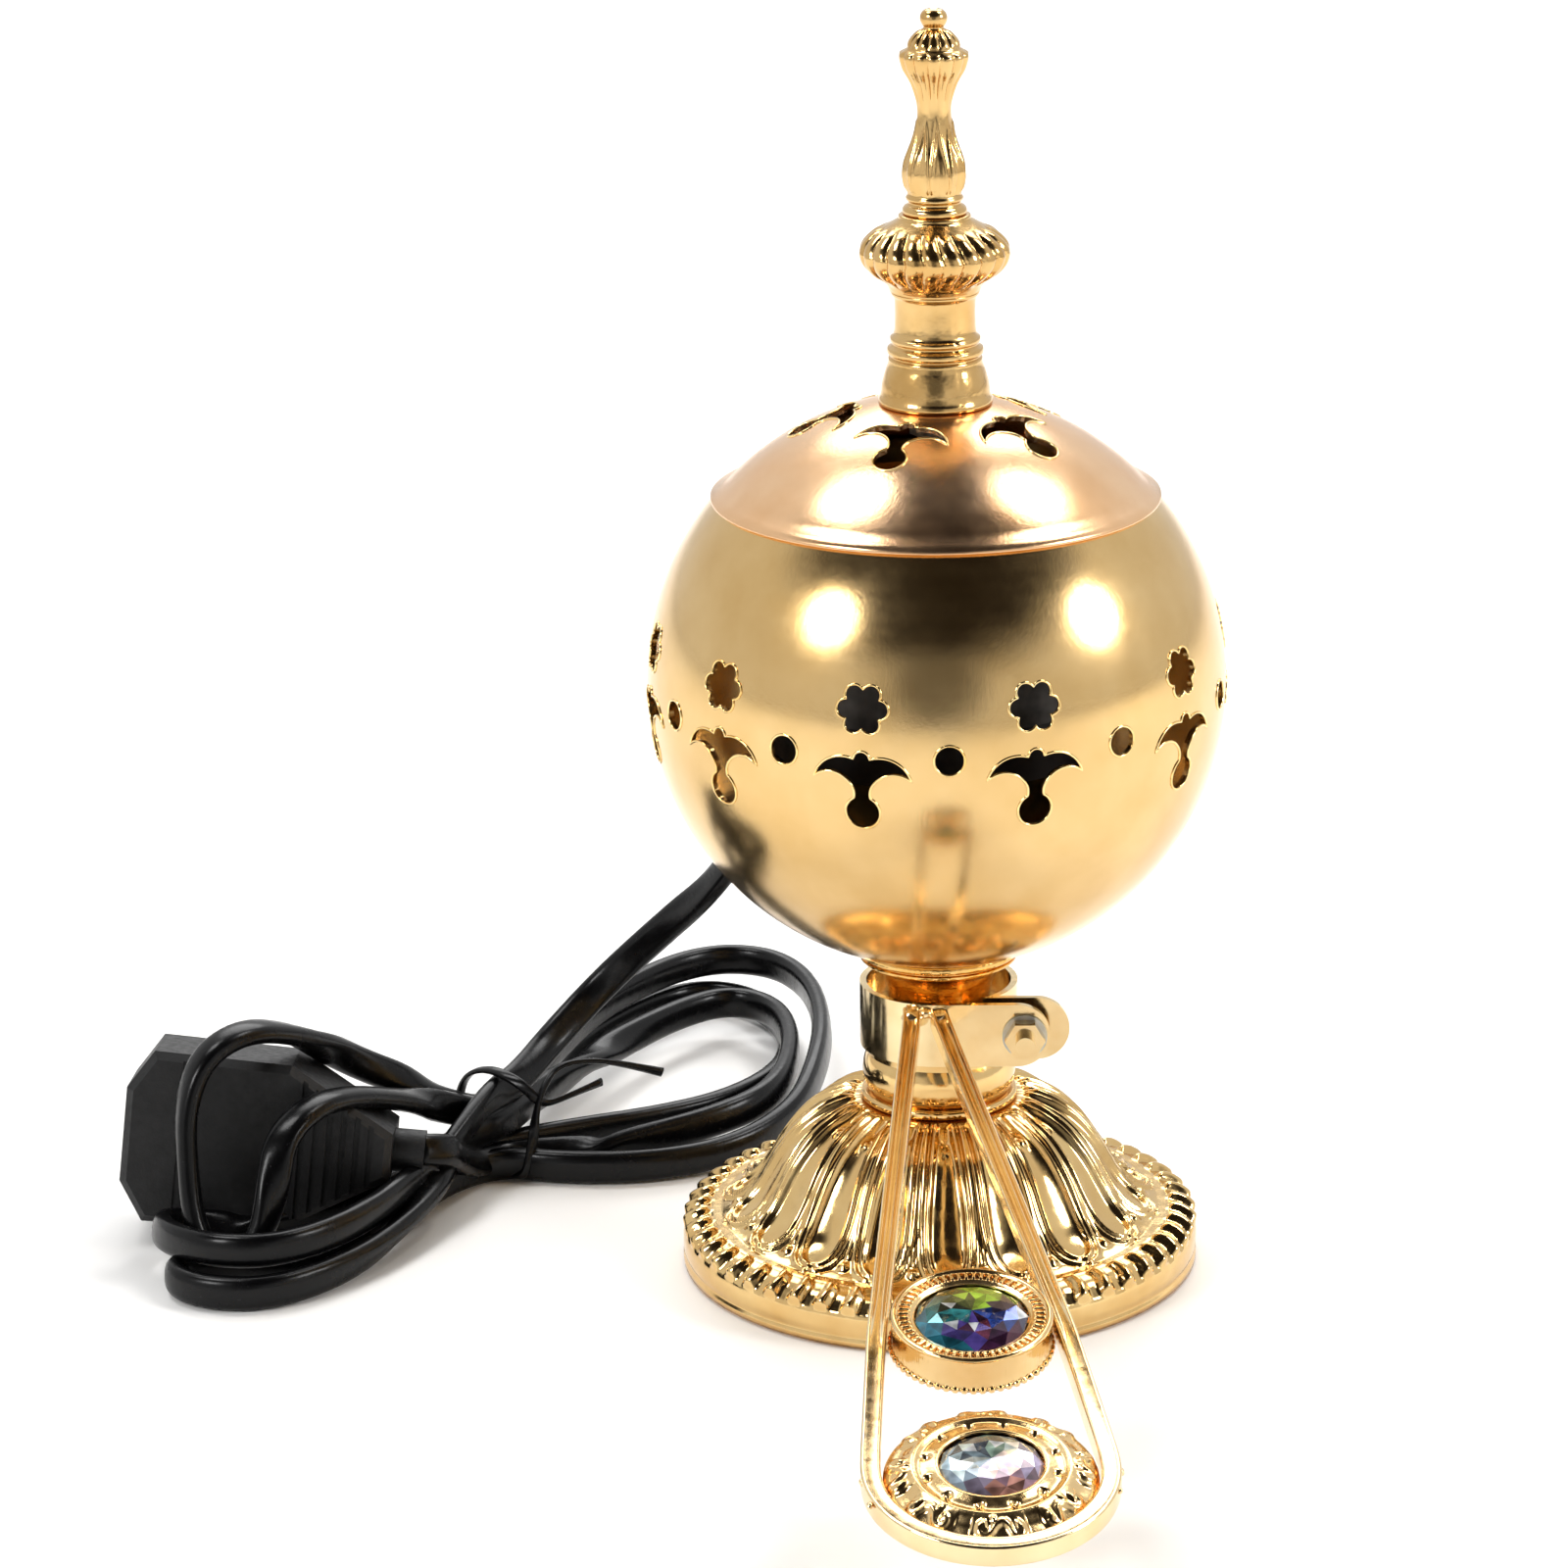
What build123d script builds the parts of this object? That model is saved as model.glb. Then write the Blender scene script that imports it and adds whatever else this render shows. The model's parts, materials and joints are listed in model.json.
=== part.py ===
from build123d import *
import math
import os

# Electric incense censer: a pierced metal ball on a lotus foot, with a lift-off lid, a swivelling
# strap handle that carries two crystal medallions, and a flat mains cord tied in a hank.
# Millimetres, +Z up. The origin is the centre of the foot where it stands; -Y is the handle side.

# Foot
foot_radius = 41.0
foot_height = 27.0
foot_wall = 2.2
foot_clearance = 0.5
skirt_height = 4.4
shoulder_width = 4.8
shoulder_height = 8.4
step_width = 4.4
dome_top_radius = 12.8
dome_bulge = 3.1
petal_count = 18
petal_turn = 2.0
petal_relief = 0.6
petal_root = 15.0
petal_overhang = 1.2
petal_half_width = 3.6
petal_root_half_width = 1.2
pad_radius = 5.0
pad_inset = 11.0
pad_count = 4
plate_bore = 20.0
plate_thickness = 1.0
plate_height = 1.8

# Stem and its through rod
rod_radius = 3.0
rod_clearance = 0.1
nut_flats = 10.0
nut_height = 5.0
washer_thickness = 1.2
washer_radius = 6.0
ring_radius = 12.4
ring_height = 1.5
collar_radius = 12.1
collar_height = 6.3
spigot_radius = 11.4
spigot_height = 6.7
neck_radius = 7.9
cup_radius = 13.0
cup_height = 11.3

# Ball and lid
ball_radius = 45.0
ball_wall = 0.9
lid_rise = 29.3
lid_gap = 0.1
rim_overhang = 0.95
rim_height = 1.1
lip_clearance = 0.45
lip_wall = 0.8
lip_above = 1.8
lip_below = 2.0

# Pierced pattern: azimuths in degrees from the handle side towards +X, latitudes from the equator
column_azimuths = [-78.0, -46.5, -14.5, 19.0, 56.5, 93.5, 131.0, 168.5, 206.0, 244.0]
rosette_latitude = 10.3
bird_latitude = -5.6
hole_latitude = 0.8
rosette_radius = 4.0
hole_radius = 2.3
bird_half_span = 7.5
bird_half_height = 6.15
lid_bird_count = 5
lid_bird_start = -20.0
lid_bird_latitude = 67.5

# Finial
stud_radius = 2.0
stud_clearance = 0.1
stud_engagement = 5.0
lid_nut_flats = 7.0
lid_nut_height = 3.2
bell_radius = 8.8
tube_radius = 6.3
bell_height = 11.0
tube_height = 6.7
saucer_radius = 11.5
saucer_height = 11.9
flute_count = 24
flute_radius = 1.1
knob_height = 31.5
knob_root = 4.0
knob_ball = 2.0

# Clamp
band_wall = 1.05
band_height = 10.2
band_clearance = 0.05
band_above_shoulder = 1.4
tab_gap = 2.25
bolt_from_band = 0.9
front_tab_past_bolt = 4.0
rear_tab_past_bolt = 7.1
rear_tab_start = 8.2
bolt_radius = 1.5
bolt_clearance = 0.05
bolt_head_radius = 2.6
bolt_head_height = 1.6
clamp_nut_flats = 5.5
clamp_nut_height = 2.4
clamp_washer_radius = 3.5
clamp_washer_thickness = 0.5
bolt_past_nut = 2.2

# Handle, laid out in its own plane: x across, y outwards along the handle, z up
handle_slope = 11.5
handle_yaw = 4.4
handle_offset = -2.1
handle_drop = 2.2
wire_width = 2.8
wire_height = 3.2
leg_spread = 2.1
upper_centre = 86.0
upper_radius = 11.9
upper_height = 5.6
upper_sink = 1.2
lower_centre = 118.6
lower_radius = 14.8
lower_height = 1.7
lower_dome = 1.6
weld_gap = 0.05
upper_crystal_radius = 8.2
lower_crystal_radius = 7.2
bezel_wall = 0.9
crystal_height = 3.6

# Heater
housing_radius = 26.0
housing_height = 15.0
housing_wall = 2.2
housing_floor = 2.5
spacer_height = 27.6
spacer_radius = 5.0
insulator_clearance = 0.2
insulator_height = 8.5
insulator_bore = 7.0
element_length = 30.0
element_width = 20.0
plate_skirt = 6.0
plate_lid = 2.0
dish_radius = 25.0
dish_flare = 2.0
dish_height = 8.0
dish_wall = 0.8
dish_gap = 0.3
fuse_radius = 1.4
block_size = (14.0, 8.0, 6.0)

# Cord
cord_radius = 2.3
exit_azimuth = -144.1
exit_latitude = -32.2
grommet_flange = 5.2
grommet_boot = 6.0
grommet_groove = 1.2
grommet_clearance = 0.05
plug_depth = 14.0
plug_length = 26.0
plug_rise = 28.0
grip_length = 17.0
grip_end = 7.6
relief_length = 5.0
pin_radius = 2.4
pin_length = 19.0
pin_pitch = 19.0

# Radii that follow from the foot's rim
shoulder_radius = foot_radius - shoulder_width
dome_radius = shoulder_radius - step_width
petal_tip = dome_radius + petal_overhang
pad_circle = foot_radius - pad_inset

# Heights that follow from the stack
rod_seat = foot_height - foot_wall
ring_top = foot_height + ring_height
shoulder_top = ring_top + collar_height
spigot_top = shoulder_top + spigot_height
cup_rim = spigot_top + cup_height
ball_centre = cup_rim + math.sqrt(ball_radius**2 - cup_radius**2)
inner_ball = ball_radius - ball_wall
rim_radius = math.sqrt(ball_radius**2 - lid_rise**2) + rim_overhang
lip_radius = math.sqrt(inner_ball**2 - (lid_rise + lip_above)**2) - lip_clearance
bowl_nut_seat = ball_centre - math.sqrt(inner_ball**2 - washer_radius**2)
spacer_base = bowl_nut_seat + washer_thickness + nut_height
housing_base = spacer_base + spacer_height
housing_top = housing_base + housing_height
lid_base = ball_centre + lid_rise
band_base = shoulder_top + band_above_shoulder
band_inner = spigot_radius + band_clearance
band_outer = band_inner + band_wall
band_top = band_base + band_height
bolt_offset = band_outer + bolt_from_band
bolt_level = band_base + band_height / 2


standing = (Align.CENTER, Align.CENTER, Align.MIN)
from_corner = (Align.MIN, Align.MIN, Align.MIN)


def save(shape, name):
    export_step(shape, f"parts/{name}.step")


def turned(points, bore=0.0):
    """A solid of revolution about +Z from a closed outline of (radius, height) points."""
    outline = make_face(Polyline(*[(r, 0, z) for r, z in points], close=True))
    solid = revolve(outline, Axis.Z)
    if bore:
        heights = [z for r, z in points]
        length = max(heights) - min(heights) + 2
        solid -= Pos(0, 0, min(heights) - 1) * Cylinder(bore, length, align=standing)
    return solid


def disc(radius, height, base, bore=0.0):
    shape = Cylinder(radius, height, align=standing)
    if bore:
        shape -= Cylinder(bore, height, align=standing)
    return Pos(0, 0, base) * shape


def hex_nut(flats, height, base, bore):
    nut = extrude(RegularPolygon(flats / 2, 6, major_radius=False), height)
    nut -= Cylinder(bore, height, align=standing)
    return Pos(0, 0, base) * nut


def ball_point(azimuth, latitude, radius):
    a = math.radians(azimuth)
    t = math.radians(latitude)
    x = radius * math.cos(t) * math.sin(a)
    y = -radius * math.cos(t) * math.cos(a)
    return Vector(x, y, ball_centre + radius * math.sin(t))


def ball_plane(azimuth, latitude, radius):
    """The tangent plane of the ball: x runs east, y runs up the meridian, z points outwards."""
    a = math.radians(azimuth)
    origin = ball_point(azimuth, latitude, radius)
    normal = origin - Vector(0, 0, ball_centre)
    return Plane(origin=origin, x_dir=(math.cos(a), math.sin(a), 0), z_dir=normal)


# ---------------------------------------------------------------- foot

def foot_section(inset, base):
    """Outline of the foot casting, moved inwards by inset, from the height base upwards."""
    r0 = foot_radius - inset
    r1 = shoulder_radius - inset / 2
    r2 = dome_radius - inset
    r3 = dome_top_radius - inset / 2
    z1 = shoulder_height - inset
    z2 = foot_height - inset
    slope = math.atan2(z2 - z1, r2 - r3)
    middle_r = (r2 + r3) / 2 + dome_bulge * math.sin(slope)
    middle_z = (z1 + z2) / 2 + dome_bulge * math.cos(slope)
    shoulder_z = skirt_height + (z1 - skirt_height) * math.sin(math.radians(45))
    shoulder_r = r1 + (r0 - r1) * math.cos(math.radians(45))
    edges = [
        Line((0, 0, base), (r0, 0, base)),
        Line((r0, 0, base), (r0, 0, skirt_height)),
        ThreePointArc((r0, 0, skirt_height), (shoulder_r, 0, shoulder_z), (r1, 0, z1)),
        Line((r1, 0, z1), (r2, 0, z1)),
        ThreePointArc((r2, 0, z1), (middle_r, 0, middle_z), (r3, 0, z2)),
        Line((r3, 0, z2), (0, 0, z2)),
        Line((0, 0, z2), (0, 0, base)),
    ]
    return revolve(make_face(Wire(edges)), Axis.Z)


def petal_outline():
    belly = (petal_root + petal_tip) / 2 + 3
    start = (petal_root, petal_root_half_width)
    widest = (belly, petal_half_width)
    swell = ((petal_root + belly) / 2, petal_half_width - 0.5)
    taper = ((belly + petal_tip) / 2, petal_half_width * 0.72)
    upper = [
        ThreePointArc(start, swell, widest),
        ThreePointArc(widest, taper, (petal_tip, 0)),
    ]
    lower = [edge.mirror(Plane.XZ) for edge in upper]
    root = Line(start, (petal_root, -petal_root_half_width))
    return make_face(Wire(upper + lower + [root]))


def foot():
    shell = foot_section(0, foot_clearance) - foot_section(foot_wall, foot_clearance - 1)
    relief = foot_section(-petal_relief, skirt_height + 1) - foot_section(foot_wall / 2, foot_clearance)
    petal = extrude(petal_outline(), foot_height + 2)
    petals = [Rot(0, 0, 360 / petal_count * k + petal_turn) * petal for k in range(petal_count)]
    shell += [relief & one for one in petals]
    top_cut = disc(dome_top_radius, petal_relief + 1, foot_height)
    bore = disc(rod_radius + rod_clearance, foot_height + 2, -1)
    return shell - top_cut - bore


def base_plate():
    radius = foot_radius - foot_wall
    return disc(radius, plate_thickness, plate_height, bore=plate_bore)


def base_pads():
    pads = []
    for k in range(pad_count):
        pad = Cylinder(pad_radius, plate_height, align=standing)
        pads.append(Rot(0, 0, 45 + 360 / pad_count * k) * Pos(pad_circle, 0, 0) * pad)
    return Compound(children=pads)


# ---------------------------------------------------------------- stem

def tie_rod():
    low = rod_seat - washer_thickness - nut_height - 1
    high = housing_base + housing_floor + nut_height + 1
    return disc(rod_radius, high - low, low)


def rod_nuts():
    under_foot = hex_nut(nut_flats, nut_height, rod_seat - washer_thickness - nut_height, rod_radius)
    in_bowl = hex_nut(nut_flats, nut_height, bowl_nut_seat + washer_thickness, rod_radius)
    in_housing = hex_nut(nut_flats, nut_height, housing_base + housing_floor, rod_radius)
    return Compound(children=[under_foot, in_bowl, in_housing])


def rod_washers():
    bore = rod_radius + rod_clearance
    under_foot = disc(washer_radius, washer_thickness, rod_seat - washer_thickness, bore)
    in_bowl = disc(washer_radius, washer_thickness, bowl_nut_seat, bore)
    return Compound(children=[under_foot, in_bowl])


def foot_ring():
    ring = disc(ring_radius, ring_height, foot_height, rod_radius + rod_clearance)
    return fillet(ring.edges().filter_by(GeomType.CIRCLE).sort_by(SortBy.RADIUS)[-2:], ring_height * 0.4)


def stem_collar():
    start = (collar_radius - 0.9, 0, ring_top)
    bulge = (collar_radius, 0, ring_top + collar_height * 0.45)
    edges = [
        Line((0, 0, ring_top), start),
        ThreePointArc(start, bulge, (spigot_radius, 0, shoulder_top)),
        Line((spigot_radius, 0, shoulder_top), (spigot_radius, 0, spigot_top)),
        Line((spigot_radius, 0, spigot_top), (0, 0, spigot_top)),
        Line((0, 0, spigot_top), (0, 0, ring_top)),
    ]
    collar = revolve(make_face(Wire(edges)), Axis.Z)
    return collar - disc(rod_radius + rod_clearance, spigot_top, ring_top - 1)


def stem_cup():
    waist = (neck_radius + 0.1, 0, spigot_top + cup_height * 0.52)
    edges = [
        Line((0, 0, spigot_top), (neck_radius, 0, spigot_top)),
        ThreePointArc((neck_radius, 0, spigot_top), waist, (cup_radius, 0, cup_rim)),
        Line((cup_radius, 0, cup_rim), (0, 0, cup_rim)),
        Line((0, 0, cup_rim), (0, 0, spigot_top)),
    ]
    cup = revolve(make_face(Wire(edges)), Axis.Z)
    cup -= Pos(0, 0, ball_centre) * Sphere(ball_radius)
    return cup - disc(rod_radius + rod_clearance, cup_height + 2, spigot_top - 1)


# ---------------------------------------------------------------- ball and lid

def rosette():
    lobe = rosette_radius * 0.37
    flower = Circle(rosette_radius * 0.72)
    for k in range(6):
        angle = math.radians(60 * k)
        reach = rosette_radius - lobe
        flower += Pos(reach * math.cos(angle), reach * math.sin(angle)) * Circle(lobe)
    return flower


def bird():
    """A bird with drooping wings above a round tail, symmetric about its own y axis."""
    w = bird_half_span
    h = bird_half_height
    right = [
        ThreePointArc((0, h), (0.11 * w, 0.95 * h), (0.17 * w, 0.81 * h)),
        ThreePointArc((0.17 * w, 0.81 * h), (0.62 * w, 0.80 * h), (w, 0.27 * h)),
        ThreePointArc((w, 0.27 * h), (0.60 * w, 0.44 * h), (0.27 * w, 0.22 * h)),
        ThreePointArc((0.27 * w, 0.22 * h), (0.18 * w, 0.05 * h), (0.17 * w, -0.19 * h)),
        ThreePointArc((0.17 * w, -0.19 * h), (0.353 * w, -0.57 * h), (0, -h)),
    ]
    left = [edge.mirror(Plane.YZ) for edge in right]
    return make_face(Wire(right + left))


def punch(outline, azimuth, latitude, depth=5.0):
    placed = ball_plane(azimuth, latitude, ball_radius).location * outline
    return extrude(placed, depth / 2, both=True)


def bowl_shell():
    shell = Pos(0, 0, ball_centre) * (Sphere(ball_radius) - Sphere(inner_ball))
    shell &= disc(ball_radius + 1, 2 * ball_radius, lid_base - 2 * ball_radius)
    flower = rosette()
    wings = bird()
    hole = Circle(hole_radius)
    spacing = column_azimuths[1:] + [column_azimuths[0] + 360]
    for here, beyond in zip(column_azimuths, spacing):
        shell -= punch(flower, here, rosette_latitude)
        shell -= punch(wings, here, bird_latitude)
        shell -= punch(hole, (here + beyond) / 2, hole_latitude)
    shell -= punch(Circle(grommet_flange - grommet_groove + grommet_clearance), exit_azimuth, exit_latitude)
    return shell - disc(rod_radius + rod_clearance, ball_wall + 4, ball_centre - ball_radius - 2)


def bowl_lip():
    """The rolled ring inside the bowl's mouth that locates the lid."""
    low = lid_base - lip_below
    inner = lip_radius - lip_wall
    high = lid_base + lip_above
    ring = turned([(inner, low), (ball_radius, low), (ball_radius, low + lip_wall),
                   (lip_radius, low + lip_wall), (lip_radius, high), (inner, high)])
    return ring & (Pos(0, 0, ball_centre) * Sphere(inner_ball))


def lid_shell():
    low = lid_base + lid_gap
    shell = Pos(0, 0, ball_centre) * (Sphere(ball_radius) - Sphere(inner_ball))
    shell &= disc(ball_radius + 1, ball_radius, low)
    inner = math.sqrt(inner_ball**2 - (lid_rise + lid_gap)**2)
    rim = turned([(inner, low), (rim_radius, low), (rim_radius, low + rim_height), (inner, low + rim_height)])
    shell += rim - Pos(0, 0, ball_centre) * Sphere(inner_ball)
    wings = bird()
    for k in range(lid_bird_count):
        shell -= punch(wings, lid_bird_start + 360 / lid_bird_count * k, lid_bird_latitude)
    return shell - disc(stud_radius + stud_clearance, ball_radius, ball_centre + ball_radius / 2)


bell_seat = ball_centre + math.sqrt(ball_radius**2 - bell_radius**2)
tube_base = bell_seat + bell_height
saucer_base = tube_base + tube_height
knob_base = saucer_base + saucer_height
lid_washer_top = ball_centre + math.sqrt(inner_ball**2 - washer_radius**2)


def lid_bell():
    z = bell_seat
    r = bell_radius
    points = [(0, z), (r, z), (r * 0.95, z + 3), (r * 0.86, z + 5.4), (r * 0.80, z + 6.8), (r * 0.82, z + 8),
              (r * 0.75, z + 9.6), (tube_radius, tube_base), (tube_radius, saucer_base), (0, saucer_base)]
    return turned(points, bore=stud_radius + stud_clearance) - Pos(0, 0, ball_centre) * Sphere(ball_radius)


def finial_saucer():
    z = saucer_base
    rise = saucer_height / 11.9
    top = z + saucer_height
    profile = Spline((tube_radius, 0, z), (0.83 * saucer_radius, 0, z + 2.8 * rise),
                     (saucer_radius, 0, z + 5.5 * rise), (0.78 * saucer_radius, 0, z + 9.2 * rise),
                     (knob_root, 0, top))
    edges = [
        Line((0, 0, z), (tube_radius, 0, z)),
        profile,
        Line((knob_root, 0, top), (0, 0, top)),
        Line((0, 0, top), (0, 0, z)),
    ]
    saucer = revolve(make_face(Wire(edges)), Axis.Z)
    flute = Pos(saucer_radius + 0.4, 0, z + 5.5 * rise) * Sphere(flute_radius)
    for k in range(flute_count):
        saucer -= Rot(0, 0, 360 / flute_count * k) * flute
    return saucer - disc(stud_radius + stud_clearance, saucer_height + 2, z - 1)


def finial_knob():
    z = knob_base
    s = knob_height / 31.5
    root = knob_root - 0.1
    top = z + 28.6 * s
    profile = Spline((root, 0, z), (4.75, 0, z + 5.2 * s), (2.9, 0, z + 11.2 * s), (2.6, 0, z + 16.2 * s),
                     (5.2, 0, z + 23.4 * s), (3.0, 0, z + 27.4 * s), (1.6, 0, top))
    edges = [
        Line((0, 0, z), (root, 0, z)),
        profile,
        Line((1.6, 0, top), (0, 0, top)),
        Line((0, 0, top), (0, 0, z)),
    ]
    knob = revolve(make_face(Wire(edges)), Axis.Z)
    knob += Pos(0, 0, z + knob_height - knob_ball) * Sphere(knob_ball)
    return knob - disc(stud_radius, stud_engagement + 1, z - 1)


def lid_stud():
    low = lid_washer_top - washer_thickness - lid_nut_height - 1.2
    return disc(stud_radius, knob_base + stud_engagement - 0.2 - low, low)


def lid_nut():
    base = lid_washer_top - washer_thickness - lid_nut_height
    nut = hex_nut(lid_nut_flats, lid_nut_height, base, stud_radius)
    washer = disc(washer_radius, washer_thickness, base + lid_nut_height, stud_radius + stud_clearance)
    return Compound(children=[nut, washer])


# ---------------------------------------------------------------- clamp and handle

front_tab_face = -band_outer
rear_tab_face = -band_outer + band_wall + tab_gap


def tab(face, length):
    """A flat ear of the band, band_wall thick, whose front face lies at y = face."""
    half = band_height / 2
    outline = Rectangle(length - half, band_height, align=(Align.MIN, Align.CENTER)) \
        + Pos(length - half, 0) * Circle(half)
    upright = Plane(origin=(0, face, bolt_level), x_dir=(1, 0, 0), z_dir=(0, 1, 0))
    return extrude(upright.location * outline, band_wall)


def clamp_band():
    ring = disc(band_outer, band_height, band_base, bore=band_inner)
    mouth = Pos(0, front_tab_face + band_wall, band_base - 1) * Box(
        2 * band_outer, tab_gap, band_height + 2, align=from_corner)
    rear = tab(rear_tab_face, bolt_offset + rear_tab_past_bolt) - disc(band_inner, 2 * band_height, band_base - 1)
    front = tab(front_tab_face, bolt_offset + front_tab_past_bolt) - disc(band_inner, 2 * band_height, band_base - 1)
    hole = Pos(bolt_offset, 0, bolt_level) * Rot(90, 0, 0) * Cylinder(bolt_radius + bolt_clearance, 60)
    band = ring - mouth + front
    keep_rear = rear - Pos(0, 0, bolt_level) * Box(2 * rear_tab_start, 60, 60)
    return band + keep_rear - hole


def along_bolt(radius, front, back):
    rod = Cylinder(radius, back - front, align=standing)
    return Pos(bolt_offset, front, bolt_level) * Rot(-90, 0, 0) * rod


def clamp_bolt():
    back = rear_tab_face + band_wall
    end = front_tab_face - clamp_washer_thickness - clamp_nut_height - bolt_past_nut
    return along_bolt(bolt_radius, end, back) + along_bolt(bolt_head_radius, back, back + bolt_head_height)


def clamp_nut():
    nut = extrude(RegularPolygon(clamp_nut_flats / 2, 6, major_radius=False), clamp_nut_height)
    nut -= Cylinder(bolt_radius, clamp_nut_height, align=standing)
    front = front_tab_face - clamp_washer_thickness - clamp_nut_height
    return Pos(bolt_offset, front, bolt_level) * Rot(-90, 0, 0) * nut


def clamp_washer():
    front = front_tab_face - clamp_washer_thickness
    washer = along_bolt(clamp_washer_radius, front, front_tab_face)
    return washer - along_bolt(bolt_radius + bolt_clearance, front, front_tab_face)


def handle_plane():
    slope = math.radians(handle_slope)
    yaw = math.radians(handle_yaw)
    across = Vector(-math.cos(yaw), -math.sin(yaw), 0)
    outward = Vector(math.sin(yaw) * math.cos(slope), -math.cos(yaw) * math.cos(slope), -math.sin(slope))
    origin = Vector(handle_offset, -band_outer, band_top - handle_drop)
    return Plane(origin=origin, x_dir=across, z_dir=across.cross(outward))


def in_handle(shape):
    return handle_plane().location * shape


loop_radius = lower_radius + weld_gap + wire_width / 2
leg_lean = math.atan2(upper_radius + wire_width / 2 - leg_spread, upper_centre)
upper_half = (upper_radius + weld_gap + wire_width / 2) / math.cos(leg_lean)


def handle_wire():
    end = lower_centre + loop_radius
    straight = lower_centre - 2
    corner = loop_radius - 0.05
    right = [(leg_spread, -4), (leg_spread, 0), (upper_half, upper_centre),
             (loop_radius, straight), (loop_radius, end)]
    left = [(-x, y) for x, y in reversed(right)]
    path = FilletPolyline(*right, *left, radius=[20, 60, 60, corner, corner, 60, 60, 20])
    section = Plane(origin=(leg_spread, -4, 0), x_dir=(1, 0, 0), z_dir=(0, 1, 0)) * RectangleRounded(
        wire_width, wire_height, 0.9)
    wire = in_handle(sweep(section, path=path))
    wire -= disc(band_outer, 4 * band_height, band_base - band_height)
    return wire - clamp_band()


def medallion(centre, radius, height, base, pocket, pocket_depth):
    body = Pos(0, centre, base) * Cylinder(radius, height, align=standing)
    body = chamfer(body.edges().filter_by(GeomType.CIRCLE), 0.4)
    top = base + height
    body -= Pos(0, centre, top - pocket_depth) * Cylinder(pocket, height, align=standing)
    return body


def crystal(centre, radius, base, height):
    """A brilliant stone: twelve-sided, with a flat table, set in its pocket."""
    girdle = height * 0.55
    lower = loft([Pos(0, centre, base) * RegularPolygon(radius * 0.45, 12),
                  Pos(0, centre, base + girdle) * RegularPolygon(radius, 12)])
    upper = loft([Pos(0, centre, base + girdle) * RegularPolygon(radius, 12),
                  Pos(0, centre, base + height) * RegularPolygon(radius * 0.55, 12)])
    return lower + upper


def bezel(centre, radius, base, height):
    ring = Cylinder(radius + bezel_wall, height, align=standing)
    ring -= Cylinder(radius, height, align=standing)
    return Pos(0, centre, base) * ring


stone_gap = 0.1
upper_pocket = upper_crystal_radius + bezel_wall
lower_pocket = lower_crystal_radius + bezel_wall
upper_pocket_depth = 3.0
lower_pocket_depth = 2.2


def upper_medallion():
    disc_body = medallion(upper_centre, upper_radius, upper_height, -upper_sink,
                          upper_pocket, upper_pocket_depth)
    return in_handle(disc_body)


def upper_bezel():
    base = upper_height - upper_sink - upper_pocket_depth
    return in_handle(bezel(upper_centre, upper_crystal_radius, base, upper_pocket_depth + 0.3))


def upper_crystal():
    base = upper_height - upper_sink - upper_pocket_depth
    return in_handle(crystal(upper_centre, upper_crystal_radius - stone_gap, base, crystal_height))


def lower_medallion():
    body = Pos(0, lower_centre, -lower_height / 2) * Cylinder(
        lower_radius, lower_height, align=standing)
    dome = Pos(0, lower_centre, lower_height / 2) * Cone(
        lower_radius - 1.0, lower_radius - 4.5, lower_dome, align=standing)
    top = lower_height / 2 + lower_dome
    pocket = Pos(0, lower_centre, top - lower_pocket_depth) * Cylinder(
        lower_pocket, 5, align=standing)
    return in_handle(body + dome - pocket)


def lower_bezel():
    base = lower_height / 2 + lower_dome - lower_pocket_depth
    return in_handle(bezel(lower_centre, lower_crystal_radius, base, lower_pocket_depth + 0.3))


def lower_crystal():
    base = lower_height / 2 + lower_dome - lower_pocket_depth
    return in_handle(crystal(lower_centre, lower_crystal_radius - stone_gap, base, crystal_height - 0.6))


# ---------------------------------------------------------------- heater

def heater_spacer():
    return disc(spacer_radius, spacer_height, spacer_base, bore=rod_radius + rod_clearance)


def heater_housing():
    cup = disc(housing_radius, housing_height, housing_base, bore=rod_radius + rod_clearance)
    inside = disc(housing_radius - housing_wall, housing_height, housing_base + housing_floor)
    return cup - inside


def insulator():
    radius = housing_radius - housing_wall - insulator_clearance
    return disc(radius, insulator_height, housing_base + housing_floor, bore=insulator_bore)


element_base = housing_base + housing_floor + insulator_height


def heating_element():
    block = Box(element_length, element_width, housing_top - element_base,
                align=standing)
    return Pos(0, 0, element_base) * block


def thermal_fuse():
    fuse = Rot(0, 90, 0) * Cylinder(fuse_radius, 10)
    return Pos(0, element_width / 2 + fuse_radius + 1.5, element_base + fuse_radius) * fuse


def heating_plate():
    outer = housing_radius + 1.0
    cap = disc(outer, plate_skirt + plate_lid, housing_top - plate_skirt)
    return cap - disc(housing_radius + 0.05, plate_skirt, housing_top - plate_skirt)


dish_base = housing_top + plate_lid + dish_gap


def incense_dish():
    z = dish_base
    rim = dish_radius + dish_flare
    points = [(0, z), (dish_radius - 3, z), (dish_radius, z + 2.5), (dish_radius, z + dish_height - 1),
              (rim, z + dish_height - 1), (rim, z + dish_height), (dish_radius - dish_wall, z + dish_height),
              (dish_radius - dish_wall, z + 2.8), (dish_radius - 3.3, z + dish_wall), (0, z + dish_wall)]
    return turned(points)


def exit_frame():
    return ball_plane(exit_azimuth, exit_latitude, ball_radius)


def terminal_block():
    length, width, height = block_size
    place = ball_point(exit_azimuth, 0, 20.0)
    return Pos(place.X, place.Y, housing_base - height) * Rot(0, 0, exit_azimuth) * Box(
        length, width, height, align=standing)


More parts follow.
